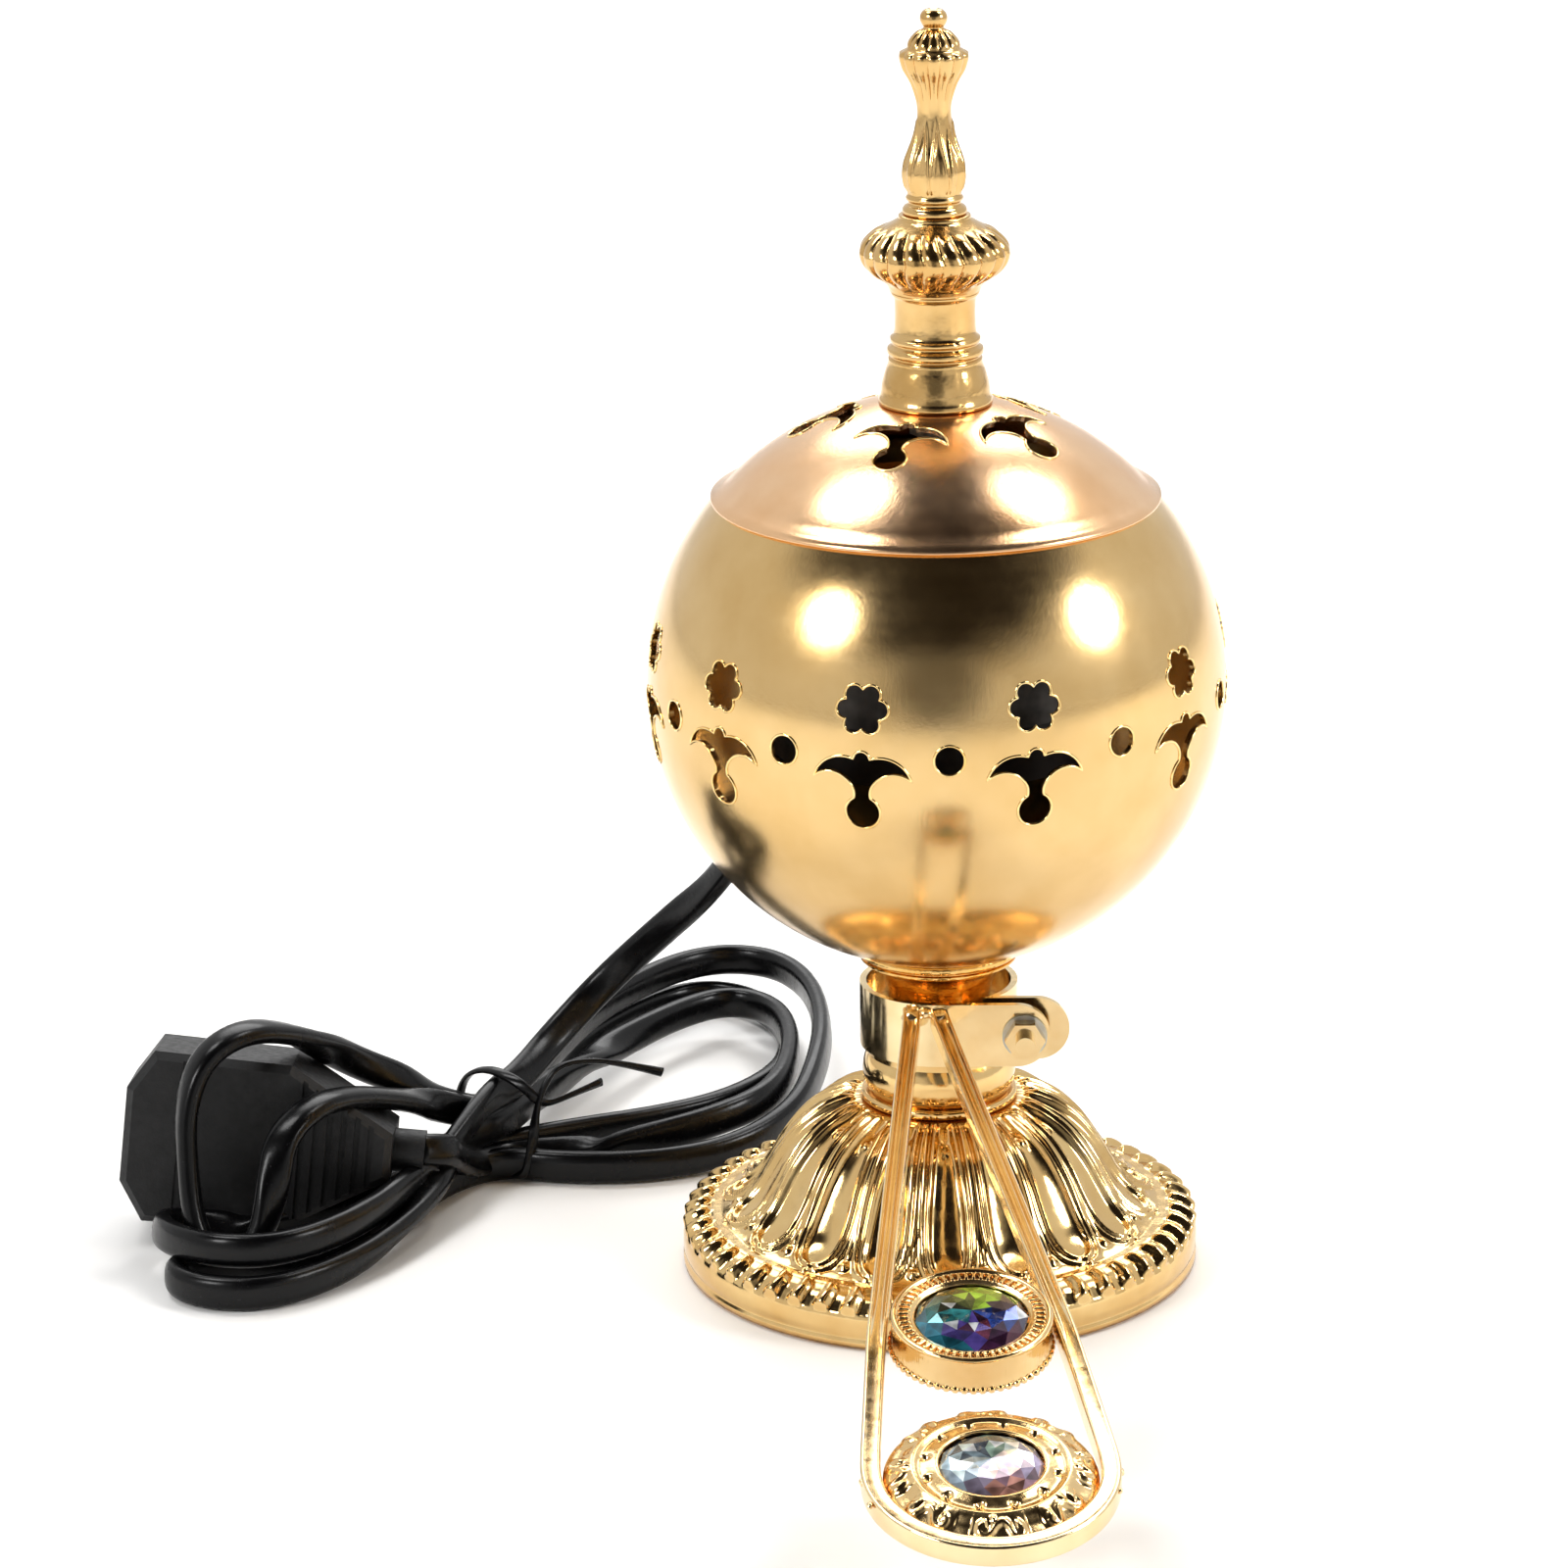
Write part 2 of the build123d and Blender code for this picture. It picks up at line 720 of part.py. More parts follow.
def inner_leads():
    """The two heat-proof sleeves between the grommet and the terminal block."""
    start = exit_frame()
    inward = start.origin - start.z_dir * (ball_wall + 2.0)
    block = ball_point(exit_azimuth, 0, 20.0)
    sleeves = []
    for side in (-1.6, 1.6):
        shift = start.x_dir * side
        a = inward + shift
        b = a - start.z_dir * 6
        c = Vector(block.X, block.Y, housing_base - block_size[2]) + shift
        path = FilletPolyline(a, b, c, radius=[4])
        ring = Plane(origin=a, z_dir=-start.z_dir) * Circle(1.2)
        sleeves.append(sweep(ring, path=path) - terminal_block())
    return Compound(children=sleeves)


# ---------------------------------------------------------------- cord

def cord_grommet():
    inner = ball_wall + 2.0
    neck = grommet_flange - grommet_groove
    profile = [(0, -inner), (grommet_flange, -inner), (grommet_flange, -ball_wall - 0.35),
               (neck, -ball_wall - 0.35), (neck, 0.3), (grommet_flange, 0.3),
               (grommet_flange, 1.6), (3.9, 1.9), (3.3, grommet_boot), (0, grommet_boot)]
    return exit_frame().location * turned(profile, bore=cord_radius + grommet_clearance)


# The cord's stretch from the grommet down to the tie, chosen by hand
lead_points = [
    (-30.5, 43.0, 58.5),
    (-36.5, 48.5, 46.5),
    (-45.5, 55.2, 36.5),
    (-56.0, 59.5, 25.5),
    (-65.0, 54.5, 15.0),
]
waist_low = (-80.0, 30.0, 0.3)
waist_high = (-64.0, 43.0, 10.6)
hank_height = 9.5
crescent_height = 7.6


def hank_waist():
    low = Vector(*waist_low)
    size = Vector(*waist_high) - low
    return Pos(low.X, low.Y, low.Z) * Box(size.X, size.Y, size.Z, align=from_corner)


def lead_route():
    frame = exit_frame()
    start = frame.origin - frame.z_dir * 1.0
    leave = frame.origin + frame.z_dir * 9.0
    end = Vector(-68.0, waist_high[1], 8.0)
    return [start, leave] + [Vector(*p) for p in lead_points] + [end]


def corner_radii(points):
    """Each arc takes 0.45 of the shorter run beside its corner."""
    radii = []
    for before, here, after in zip(points, points[1:], points[2:]):
        run_in = here - before
        run_out = after - here
        turn = math.radians(run_in.get_angle(run_out))
        radii.append(0.45 * min(run_in.length, run_out.length) / math.tan(turn / 2))
    return radii


def cord_lead():
    points = lead_route()
    radii = corner_radii(points)
    print("cord radii", [round(r, 1) for r in radii])
    path = FilletPolyline(*points, radius=radii)
    tube = sweep(Plane(origin=points[0], z_dir=points[1] - points[0]) * Circle(cord_radius), path=path)
    print("cord volume over section", tube.volume / (math.pi * cord_radius**2), "length", path.length)
    return tube - hank_waist()


plug_corner = (-131.0, 7.2, 4.1)
plug_tilt = 8.0
plug_pitch = 6.0


def plug_outline():
    half = plug_rise / 2
    tail = grip_end / 2
    end = plug_length + grip_length
    upper = [(0, 0.55 * half), (4, half), (plug_length, 0.97 * half), (end, tail)]
    lower = [(x, -y) for x, y in reversed(upper)]
    return make_face(Polyline(*upper, *lower, close=True))


def in_plug(shape):
    """Places a shape drawn in the plug's own frame: x along the grip, y up its face, z towards its face."""
    x, y, z = plug_corner
    return Pos(x, y, z + plug_rise / 2) * Rot(0, plug_pitch, 0) * Rot(90 - plug_tilt, 0, 0) * shape


def plug_body():
    body = extrude(plug_outline(), -plug_depth)
    body = chamfer(body.edges().group_by(Axis.Z)[-1], 1.2)
    for k in range(6):
        groove = Pos(plug_length + 2.5 + 2.2 * k, 0, 0) * Box(0.9, 2 * plug_rise, 0.9)
        body -= groove
    seam = Pos(9.0, 0, 0) * Box(0.5, 2 * plug_rise, 0.5)
    return in_plug(body - seam)


def plug_pins():
    pins = []
    for side in (-pin_pitch / 2, pin_pitch / 2):
        pin = Pos(13.0 + side, -2.0, -plug_depth) * Cylinder(
            pin_radius, pin_length, align=(Align.CENTER, Align.CENTER, Align.MAX))
        pins.append(in_plug(pin))
    return Compound(children=pins)


def plug_relief():
    end = plug_length + grip_length
    sleeve = Cylinder(grip_end / 2 - 0.3, relief_length, align=standing)
    return in_plug(Pos(end, 0, -plug_depth / 2) * Rot(0, 90, 0) * sleeve)


def cord_hank():
    """One closed solid of the tied hank: two loops of strands on either side of a waist."""
    outer = [(-62, 40), (-63.5, 66), (-61, 92), (-53, 112), (-40, 120), (-27, 112), (-20, 92), (-20, 70),
             (-28, 48), (-41, 35), (-54, 30), (-64, 31)]
    inner = [(-54, 46), (-54, 68), (-51, 92), (-44, 105), (-34, 102), (-28, 88),
             (-29, 68), (-38, 50), (-47, 42)]
    right = extrude(make_face(Spline(*outer, periodic=True)), hank_height)
    right -= extrude(make_face(Spline(*inner, periodic=True)), hank_height)
    crescent = [(-78, 31), (-80, 42), (-88, 22), (-94, 4), (-106, 2), (-118, 2), (-127, 2), (-130, -2),
                (-126, -13), (-115, -23), (-102, -26), (-91, -19), (-84, -4), (-78, 14)]
    low = extrude(make_face(Polyline(*crescent, close=True)), crescent_height)
    bridge = tube_through([(-78, 37, 8), (-89, 31, 23), (-101, 17, 35.5), (-111.5, 4, 37), (-121, -3, 31),
                           (-125.5, -5, 18), (-121, -8, 6)], 3.4)
    inside = tube_through([(-78, 34, 8), (-86, 22.5, 20), (-97, 5, 28), (-107, -4, 24), (-112.5, -7.5, 12),
                           (-113, -10, 4)], 2.8)
    relief_end = plug_length + grip_length + relief_length
    mouth = in_plug(Pos(relief_end, 0, -plug_depth / 2) * Rot(0, 90, 0) * Circle(2.7))
    start = mouth.center()
    leave = start + mouth.faces()[0].normal_at() * 4
    tail = tube_through([start, leave, Vector(-79, 23.5, 10), Vector(-78.5, 32, 7)], 2.7)
    hank = Pos(0, 0, waist_low[2]) * (right + low) + hank_waist() + bridge + inside + tail
    return hank - in_plug(extrude(plug_outline(), -plug_depth)) - plug_relief()


def tube_through(points, radius):
    route = [Vector(*p) for p in points]
    path = FilletPolyline(*route, radius=corner_radii(route))
    return sweep(Plane(origin=route[0], z_dir=route[1] - route[0]) * Circle(radius), path=path)


def twist_tie():
    """The flat wire tie: one turn round the waist of the hank, with its twisted ends on top."""
    gap = 0.1
    wire = 0.9
    (x0, y0, z0), (x1, y1, z1) = waist_low, waist_high
    centre = x0 + 6.6
    on_edge = (Align.CENTER, Align.MIN, Align.MIN)
    turn = Box(1.8, y1 - y0 + 2 * (gap + wire), z1 - 0.2 + gap + wire, align=on_edge)
    turn = Pos(centre, y0 - gap - wire, 0.2 - wire + 0.75) * turn
    hollow = Pos(centre, y0 - gap, z0 - gap) * Box(4, y1 - y0 + 2 * gap, z1 - z0 + 2 * gap, align=on_edge)
    tail = tube_through([(centre, y0 + 3, z1 + 1.2), (centre + 1, y0 + 6, z1 + 8),
                         (centre + 8, y0 + 9, z1 + 14), (centre + 19, y0 + 9, z1 + 16)], wire)
    return turn - hollow + tail


builders = [
    foot, base_plate, base_pads, tie_rod, rod_nuts, rod_washers, foot_ring, stem_collar, stem_cup, bowl_shell,
    bowl_lip, lid_shell, lid_bell, finial_saucer, finial_knob, lid_stud, lid_nut, clamp_band, clamp_bolt,
    clamp_nut, clamp_washer, handle_wire, upper_medallion, upper_bezel, upper_crystal, lower_medallion,
    lower_bezel, lower_crystal, heater_spacer, heater_housing, insulator, heating_element, thermal_fuse,
    heating_plate, incense_dish, terminal_block, inner_leads, cord_grommet, cord_lead, plug_body, plug_pins,
    plug_relief, cord_hank, twist_tie,
]
os.makedirs("parts", exist_ok=True)
for build in builders:
    save(build(), build.__name__)
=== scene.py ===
import json
import math

import bmesh
import bpy
import numpy as np
from mathutils import Matrix, Vector

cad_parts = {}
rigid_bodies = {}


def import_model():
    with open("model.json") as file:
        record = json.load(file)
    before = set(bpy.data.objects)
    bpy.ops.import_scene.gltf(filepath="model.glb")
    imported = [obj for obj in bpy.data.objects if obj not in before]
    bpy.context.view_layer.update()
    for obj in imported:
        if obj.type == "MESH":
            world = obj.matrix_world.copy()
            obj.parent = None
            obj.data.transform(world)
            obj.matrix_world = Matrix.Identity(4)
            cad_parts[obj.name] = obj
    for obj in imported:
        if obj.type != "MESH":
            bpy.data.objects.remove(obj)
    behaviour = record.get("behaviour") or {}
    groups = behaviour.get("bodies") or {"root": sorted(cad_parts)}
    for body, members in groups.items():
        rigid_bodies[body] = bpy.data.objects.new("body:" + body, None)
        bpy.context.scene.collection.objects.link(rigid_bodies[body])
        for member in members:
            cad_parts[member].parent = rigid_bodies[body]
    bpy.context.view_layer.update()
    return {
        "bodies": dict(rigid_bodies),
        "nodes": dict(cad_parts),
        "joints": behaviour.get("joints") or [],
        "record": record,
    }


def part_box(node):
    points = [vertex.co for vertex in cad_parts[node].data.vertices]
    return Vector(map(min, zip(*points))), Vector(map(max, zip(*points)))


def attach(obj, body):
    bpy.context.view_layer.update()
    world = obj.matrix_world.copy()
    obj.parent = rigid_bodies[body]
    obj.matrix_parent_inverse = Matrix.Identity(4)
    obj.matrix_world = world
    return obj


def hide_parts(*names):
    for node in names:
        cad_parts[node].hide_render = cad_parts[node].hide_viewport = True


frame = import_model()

nodes = frame["nodes"]
MM = 0.001


# ------------------------------------------------------------------ foot casting
# A round zinc die casting, polished and gold plated: a skirt with a rim of slanted beads, a flat
# step, and a dome of eighteen lotus petals with double borders, and ribs and pearls between them.

BEADS = 54
PETALS = 18
FOOT_STEPS = 720
FIRST_PETAL = -87.5         # degrees to the first petal's middle
SHOULDER_AT = (36.2, 4.4)   # middle of the beaded shoulder's quarter round, and its two radii
SHOULDER_WIDE = 4.8
SHOULDER_HIGH = 4.0
STEP_RADIUS = 35.8
STEP_LOW = 8.0
PETAL_TIP = 33.4            # radii of a petal's tip, its widest place, and the neck of the dome
PETAL_BELLY = 26.0
PETAL_NECK = 13.0
PETAL_SHARE = 0.64          # a petal's part of the room it has, and what it loses up the dome
PETAL_TAPER = 0.24
PETAL_DEEP = 0.62
BORDER = (0.75, 0.40)       # height and width of the inner border, the outer one and the rib
OUTER_BORDER = (0.60, 0.34)
BORDER_GAP = 1.15
RIB = (0.50, 0.36)
PEARL = (32.2, 0.70, 0.70)  # radius, height and width of the pearl, the bud and the bud's hollow
BUD = (19.2, 0.55, 0.55)
BUD_HOLLOW = (17.2, 0.3, 0.5)
BEAD_HIGH = 0.95
BEAD_GAP_DEEP = 0.25
PLATING_CLOUD_MM = 9.0
POLISH_MM = 2.0
# The deep orange that is painted into recesses of the gold castings as shade.
HOLLOW_SHADE_GOLD = "#C47A1E"


def linear(code):
    """An sRGB hex colour as the linear RGBA that a shader socket takes."""
    parts = [int(code[i:i + 2], 16) / 255 for i in (1, 3, 5)]
    curve = [c / 12.92 if c <= 0.04045 else ((c + 0.055) / 1.055) ** 2.4 for c in parts]
    return (*curve, 1.0)


def add(tree, kind, inputs=None, **settings):
    """Adds a shader node; an input given as a socket is linked, and any other value is set."""
    node = tree.nodes.new("ShaderNode" + kind)
    for name, value in settings.items():
        setattr(node, name, value)
    for name, value in (inputs or {}).items():
        if isinstance(value, bpy.types.NodeSocket):
            tree.links.new(value, node.inputs[name])
        else:
            node.inputs[name].default_value = value
    return node


def finish_material(name, **inputs):
    """A new material with one Principled shader, whose sockets take these values."""
    material = bpy.data.materials.new(name)
    material.use_nodes = True
    tree = material.node_tree
    tree.nodes.clear()
    sockets = {key.replace("_", " "): value for key, value in inputs.items()}
    shader = add(tree, "BsdfPrincipled", sockets)
    add(tree, "OutputMaterial", {"Surface": shader.outputs["BSDF"]})
    return material, tree, shader


def patches(tree, size_mm, low, high, start=0.3, end=0.7, detail=3.0, fine=0.55):
    """A value that drifts between low and high, in patches about size_mm across."""
    cloud = add(tree, "TexNoise", {"Vector": add(tree, "TexCoord").outputs["Object"],
                                   "Scale": 1 / (size_mm * MM), "Detail": detail,
                                   "Roughness": fine})
    return add(tree, "MapRange", {"Value": cloud.outputs["Fac"], "From Min": start,
                                  "From Max": end, "To Min": low, "To Max": high}).outputs["Result"]


def clouded(tree, shader, size_mm, first, second, **drift):
    """A colour that drifts between two close tones; it gives the colour back."""
    factor = patches(tree, size_mm, 0.0, 1.0, **drift)
    mix = add(tree, "Mix", {"Factor": factor}, data_type="RGBA")
    mix.inputs["A"].default_value = linear(first)
    mix.inputs["B"].default_value = linear(second)
    tree.links.new(mix.outputs["Result"], shader.inputs["Base Color"])
    return mix.outputs["Result"]


def roughened(tree, shader, size_mm, low, high):
    """A roughness that drifts between two values."""
    tree.links.new(patches(tree, size_mm, low, high), shader.inputs["Roughness"])


def rippled(tree, shader, size_mm, high_mm, detail=3.0):
    """A skin of soft ripples about size_mm across and up to high_mm high."""
    ripple = add(tree, "TexNoise", {"Vector": add(tree, "TexCoord").outputs["Object"],
                                    "Scale": 1 / (size_mm * MM), "Detail": detail,
                                    "Roughness": 0.55})
    bump = add(tree, "Bump", {"Height": ripple.outputs["Fac"], "Distance": high_mm * MM,
                              "Strength": 1.0})
    tree.links.new(bump.outputs["Normal"], shader.inputs["Normal"])


def gold_plate(name, light, deep, rough, ripple_mm, ripple_size, hollow_shade=0.0, reach_mm=2.5):
    """Gold plating over a polished metal: it mirrors, its skin is slightly uneven, and shade can be
    painted into its recesses.
    """
    material, tree, shader = finish_material(name, Metallic=1.0)
    colour = clouded(tree, shader, PLATING_CLOUD_MM, light, deep)
    if hollow_shade:
        # Painted shade: where the AO node finds a recess, the colour is mixed towards a deep
        # orange.
        hollow = add(tree, "AmbientOcclusion", {"Distance": reach_mm * MM}, samples=6)
        depth = add(tree, "MapRange", {"Value": hollow.outputs["AO"], "From Min": 0.25,
                                       "From Max": 0.85, "To Min": hollow_shade, "To Max": 0.0})
        mix = add(tree, "Mix", {"Factor": depth.outputs["Result"]}, data_type="RGBA")
        tree.links.new(colour, mix.inputs["A"])
        mix.inputs["B"].default_value = linear(HOLLOW_SHADE_GOLD)
        tree.links.new(mix.outputs["Result"], shader.inputs["Base Color"])
    roughened(tree, shader, POLISH_MM, rough * 0.7, rough * 1.5)
    rippled(tree, shader, ripple_size, ripple_mm, 2.0)
    return material


def coat(names, material):
    """Gives these CAD parts one finish."""
    for name in names:
        nodes[name].data.materials.clear()
        nodes[name].data.materials.append(material)


def linked(name, data):
    """A new object in the scene, at the origin."""
    piece = bpy.data.objects.new(name, data)
    bpy.context.scene.collection.objects.link(piece)
    return piece


def deselect():
    """Leaves edit mode, with nothing selected."""
    if bpy.context.object and bpy.context.object.mode != "OBJECT":
        bpy.ops.object.mode_set(mode="OBJECT")
    bpy.ops.object.select_all(action="DESELECT")


def pick(piece):
    """Selects this piece alone and makes it active."""
    deselect()
    piece.select_set(True)
    bpy.context.view_layer.objects.active = piece


def rounded(points, per=6):
    """A smooth line through drawn points, as a flexible curve laid through them."""
    line = []
    ends = [points[0], *points, points[-1]]
    for a, b, c, d in zip(ends, ends[1:], ends[2:], ends[3:]):
        for k in range(per):
            t = k / per
            line.append(tuple(
                0.5 * (2 * q + (r - p) * t + (2 * p - 5 * q + 4 * r - s) * t**2
                       + (3 * q - p - 3 * r + s) * t**3) for p, q, r, s in zip(a, b, c, d)))
    return line + [points[-1]]


def spun(name, outline, steps, closed=False):
    """Spins a drawn outline of (radius, height) in millimetres round Z, as on a lathe."""
    mesh = bpy.data.meshes.new(name)
    edges = [(k, k + 1) for k in range(len(outline) - 1)]
    if closed:
        edges.append((len(outline) - 1, 0))
    mesh.from_pydata([(r * MM, 0, z * MM) for r, z in outline], edges, [])
    piece = linked(name, mesh)
    pick(piece)
    bpy.ops.object.mode_set(mode="EDIT")
    bpy.ops.mesh.select_all(action="SELECT")
    bpy.ops.mesh.spin(steps=steps, angle=2 * math.pi, center=(0, 0, 0), axis=(0, 0, 1))
    bpy.ops.mesh.select_all(action="SELECT")
    bpy.ops.mesh.remove_doubles(threshold=1e-6)
    bpy.ops.mesh.normals_make_consistent(inside=False)
    bpy.ops.object.mode_set(mode="OBJECT")
    bpy.ops.object.shade_smooth()
    return piece


def points_of(piece):
    """The piece's points and outward directions, in millimetres."""
    mesh = piece.data
    where = np.zeros(len(mesh.vertices) * 3)
    mesh.vertices.foreach_get("co", where)
    out = np.zeros(len(mesh.vertices) * 3)
    mesh.vertices.foreach_get("normal", out)
    return where.reshape(-1, 3) / MM, out.reshape(-1, 3)


def push(piece, amount):
    """Moves every point out by its own amount in millimetres, as a chaser raises a pattern."""
    where, out = points_of(piece)
    piece.data.vertices.foreach_set("co", ((where + out * amount[:, None]) * MM).ravel())
    piece.data.update()


def smooth(low, high, x):
    """A soft step from 0 at low to 1 at high."""
    t = np.clip((x - low) / (high - low), 0, 1)
    return t * t * (3 - 2 * t)


def ridge(distance, width):
    """A rounded ridge that is 1 on its line and dies out over a width or two."""
    return np.exp(-(distance / width) ** 2)


def foot_outline():
    """The foot's section: skirt, beaded shoulder, step, dome, and the hollow underside."""
    skirt = [(41.0, 0.5), (41.0, 1.4), (40.75, 1.7), (40.75, 2.2), (40.95, 2.6), (41.0, 3.4)]
    shoulder = [(SHOULDER_AT[0] + SHOULDER_WIDE * math.cos(a),
                 SHOULDER_AT[1] + SHOULDER_HIGH * math.sin(a))
                for a in np.linspace(0, math.pi / 2, 26)]
    step = [(r, 8.4) for r in np.linspace(36.0, 34.9, 8)]
    dome = rounded([(34.6, 8.45), (33.0, 9.0), (31.0, 10.3), (28.8, 12.6), (26.9, 15.5),
                    (25.2, 18.4), (23.2, 21.1), (20.8, 23.5), (18.0, 25.3), (15.4, 26.4),
                    (13.2, 26.95)], 7)
    top = [(12.6, 26.98), (9.0, 27.0)]
    hollow = [(3.1, 26.95), (3.1, 24.8), (12.0, 24.6), (22.0, 19.0), (29.5, 6.4), (38.6, 3.5),
              (38.8, 0.5)]
    return skirt + shoulder + step + dome + top + hollow


foot_casting = spun("foot_casting", foot_outline(), FOOT_STEPS, closed=True)
where, out = points_of(foot_casting)
radius = np.hypot(where[:, 0], where[:, 1])
height = where[:, 2]
turn = np.degrees(np.arctan2(where[:, 1], where[:, 0]))
faces_up = out[:, 2] > -0.2
pitch = 360 / PETALS
off = (turn - FIRST_PETAL + pitch / 2) % pitch - pitch / 2
lateral = np.abs(np.radians(off)) * radius
half_pitch = math.radians(pitch / 2) * radius


def petal_edge(r, spread, tip, nudge=0.04):
    """Half the width of a petal at radius r, rounded off at its tip, and how fast it narrows."""
    def width(r):
        run = np.clip((r - PETAL_BELLY) / (tip - PETAL_BELLY), 0, 1)
        top = np.clip((PETAL_BELLY - r) / (PETAL_BELLY - PETAL_NECK), 0, 1)
        full = math.radians(pitch / 2) * r * PETAL_SHARE * (1 - PETAL_TAPER * top) + spread
        return full * (1 - run**3) ** 0.55
    return width(r), (width(r + nudge) - width(r - nudge)) / (2 * nudge)


def border_line(edge, slope, high, wide, end):
    """A raised border along a petal's edge, measured square to it."""
    return high * ridge((lateral - edge) / np.hypot(1, slope), wide) * (radius < end)


def spot(at, high, wide, aside):
    """A round swelling at one radius, where aside is nothing."""
    return high * ridge(np.hypot(radius - at, aside), wide)


edge, slope = petal_edge(radius, 0.0, PETAL_TIP)
outer_edge, outer_slope = petal_edge(radius, BORDER_GAP, PETAL_TIP + BORDER_GAP)
raised = border_line(edge, slope, *BORDER, PETAL_TIP + 0.6)
raised += border_line(outer_edge, outer_slope, *OUTER_BORDER, PETAL_TIP + 1.7)
# Each petal is hollowed between its borders, and the hollow runs out at its tip and at the neck.
to_tip = np.clip((radius - PETAL_BELLY) / (PETAL_TIP - PETAL_BELLY), 0, 1)
hollowed = np.clip(1 - (lateral / np.maximum(edge, 0.02)) ** 2, 0, 1)
raised -= PETAL_DEEP * hollowed * smooth(0.15, 0.6, 1 - to_tip) * smooth(13.5, 17, radius)
# A rib runs down between two petals to its pearl, and a bud stands at the top of each petal.
rib = ridge(half_pitch - lateral, RIB[1]) * smooth(14.0, 15.5, radius)
rib *= 1 - smooth(30.6, 31.4, radius)
raised += RIB[0] * rib
raised += spot(*PEARL, half_pitch - lateral)
raised += spot(*BUD, lateral) - spot(*BUD_HOLLOW, lateral)
raised *= smooth(PETAL_NECK, 14.2, radius)
# The beads of the rim lean over as they climb the shoulder, and get narrower and lower.
climb = np.degrees(np.arcsin(np.clip((height - SHOULDER_AT[1]) / SHOULDER_HIGH, 0, 1))) / 90
slant = 1.5 * (climb - 0.5) + 0.7 * np.sin(2 * math.pi * climb)
swing = ((turn + slant) % (360 / BEADS)) / (360 / BEADS) - 0.5
bead = np.clip(1 - (swing / (0.36 - 0.14 * climb)) ** 2, 0, 1) ** 0.8
band = smooth(0.18, 0.40, climb) * (1 - smooth(0.86, 0.99, climb)) * (1.3 - 0.5 * climb)
beads = BEAD_HIGH * bead * band - BEAD_GAP_DEEP * (1 - bead) * band
on_dome = faces_up & (radius > PETAL_NECK) & (radius < STEP_RADIUS) & (height > STEP_LOW)
on_rim = faces_up & (radius >= 35.6) & (height > 4.0)
push(foot_casting, np.where(on_dome, raised, 0) + np.where(on_rim, beads, 0))
polished_gold = gold_plate("polished_gold_plated_zinc", "#E8C88C", "#DAB374", rough=0.12,
                           ripple_mm=0.05, ripple_size=3.0, hollow_shade=0.5)
foot_casting.data.materials.append(polished_gold)
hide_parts("foot")
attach(foot_casting, "root")

# Every CAD part starts with this plating, and the sections below give most of them their own.
coat(nodes, polished_gold)


# ------------------------------------------------------------------ mains cord
# A flat two-core flex in soft black PVC, extruded with rounded edges. It leaves a grommet in the
# back of the ball, drops to the floor and passes seven times through one tie before its plug.

CORD_WIDTH = 5.4
CORD_THICK = 3.4
CORD_STEP = 1.25
STRAIGHT_BEND = 0.03        # bends under which the flex counts as straight and over which as bent
FULL_BEND = 0.05
LEAD = [
    (-21.8, 30.1, 72.4), (-26.8, 37, 67.1), (-30.5, 43, 58.5), (-36.5, 48.5, 46.5),
    (-45.5, 55.2, 36.5), (-56, 59.5, 25.5), (-65, 52.5, 17.5), (-70, 42, 14.2)]
FRONT_LOOP = [
    (-74.2, 36.0, 13.4), (-79, 25.5, 10.5), (-83, 11.5, 5.6), (-88.5, -3, 3.2), (-96, -14.5, 2.9),
    (-104.5, -21.6, 2.9), (-113.5, -21.5, 2.9), (-120, -17, 2.9), (-120.5, -11.5, 2.9),
    (-114, -9.0, 2.9), (-105, -11.5, 2.9), (-97, -6, 2.9), (-91.5, 3.5, 2.9), (-86, 15, 2.9),
    (-79.8, 27.5, 2.9)]
OUTER_LOOP = [
    (-72, 33.2, 2.9), (-62, 29.8, 2.9), (-47, 30, 3.0), (-34, 36, 3.4), (-24.5, 47, 5.2),
    (-21, 62, 7.5), (-20, 80, 8.6), (-22.5, 98.5, 9.2), (-28.5, 111, 9.3), (-37.5, 114.8, 9.3),
    (-46, 111, 9.3), (-54, 100.5, 9.3), (-61, 86.5, 9.3), (-66.5, 67, 9.3), (-70.5, 50, 9.0)]
ARCH = [
    (-76.8, 40.6, 8.9), (-83, 38, 12.5), (-88.5, 34, 17), (-94.5, 29, 21.5), (-100, 22, 27.5),
    (-105, 14, 33), (-111, 6, 36.2), (-117, 1, 33.5), (-119.5, -2, 26), (-119, -4.5, 17),
    (-118, -7.5, 9.5), (-115.5, -9, 4.4), (-110.5, -9.5, 3.4), (-107, -8.2, 7.5),
    (-105.4, -5.5, 15), (-104.6, -2, 21), (-100, 4, 24.2), (-95, 12, 22.6), (-90, 20, 19.2),
    (-84.5, 27.5, 15.4), (-79.5, 33.5, 11.8)]
LONG_LOOP = [
    (-74.4, 38.4, 8.9), (-70.2, 52, 5.5), (-67.5, 74, 3.4), (-59.5, 94, 3.2), (-49.5, 108.5, 3.2),
    (-41.5, 112.6, 3.2), (-33.5, 108.5, 3.2), (-27.2, 96.5, 3.2), (-26.2, 80, 3.2),
    (-28.5, 68.5, 3.2), (-36.5, 57.5, 3.0), (-47.5, 50.5, 3.0), (-60, 45.5, 3.0), (-68, 41.8, 3.0)]
SIDE_LOOP = [
    (-75.2, 38.2, 2.9), (-83, 30.5, 2.9), (-91, 21.5, 2.9), (-98, 13, 2.9), (-106, 6.6, 2.9),
    (-115, 4.4, 3.2), (-122, 3.0, 4.6), (-124.3, -2.8, 6.4), (-121, -11, 7.6), (-113.4, -17.4, 8.3),
    (-104.2, -17.6, 8.3), (-95.8, -10.6, 8.3), (-89.2, 0.6, 8.2), (-84.2, 14.5, 8.4),
    (-79, 28, 8.8)]
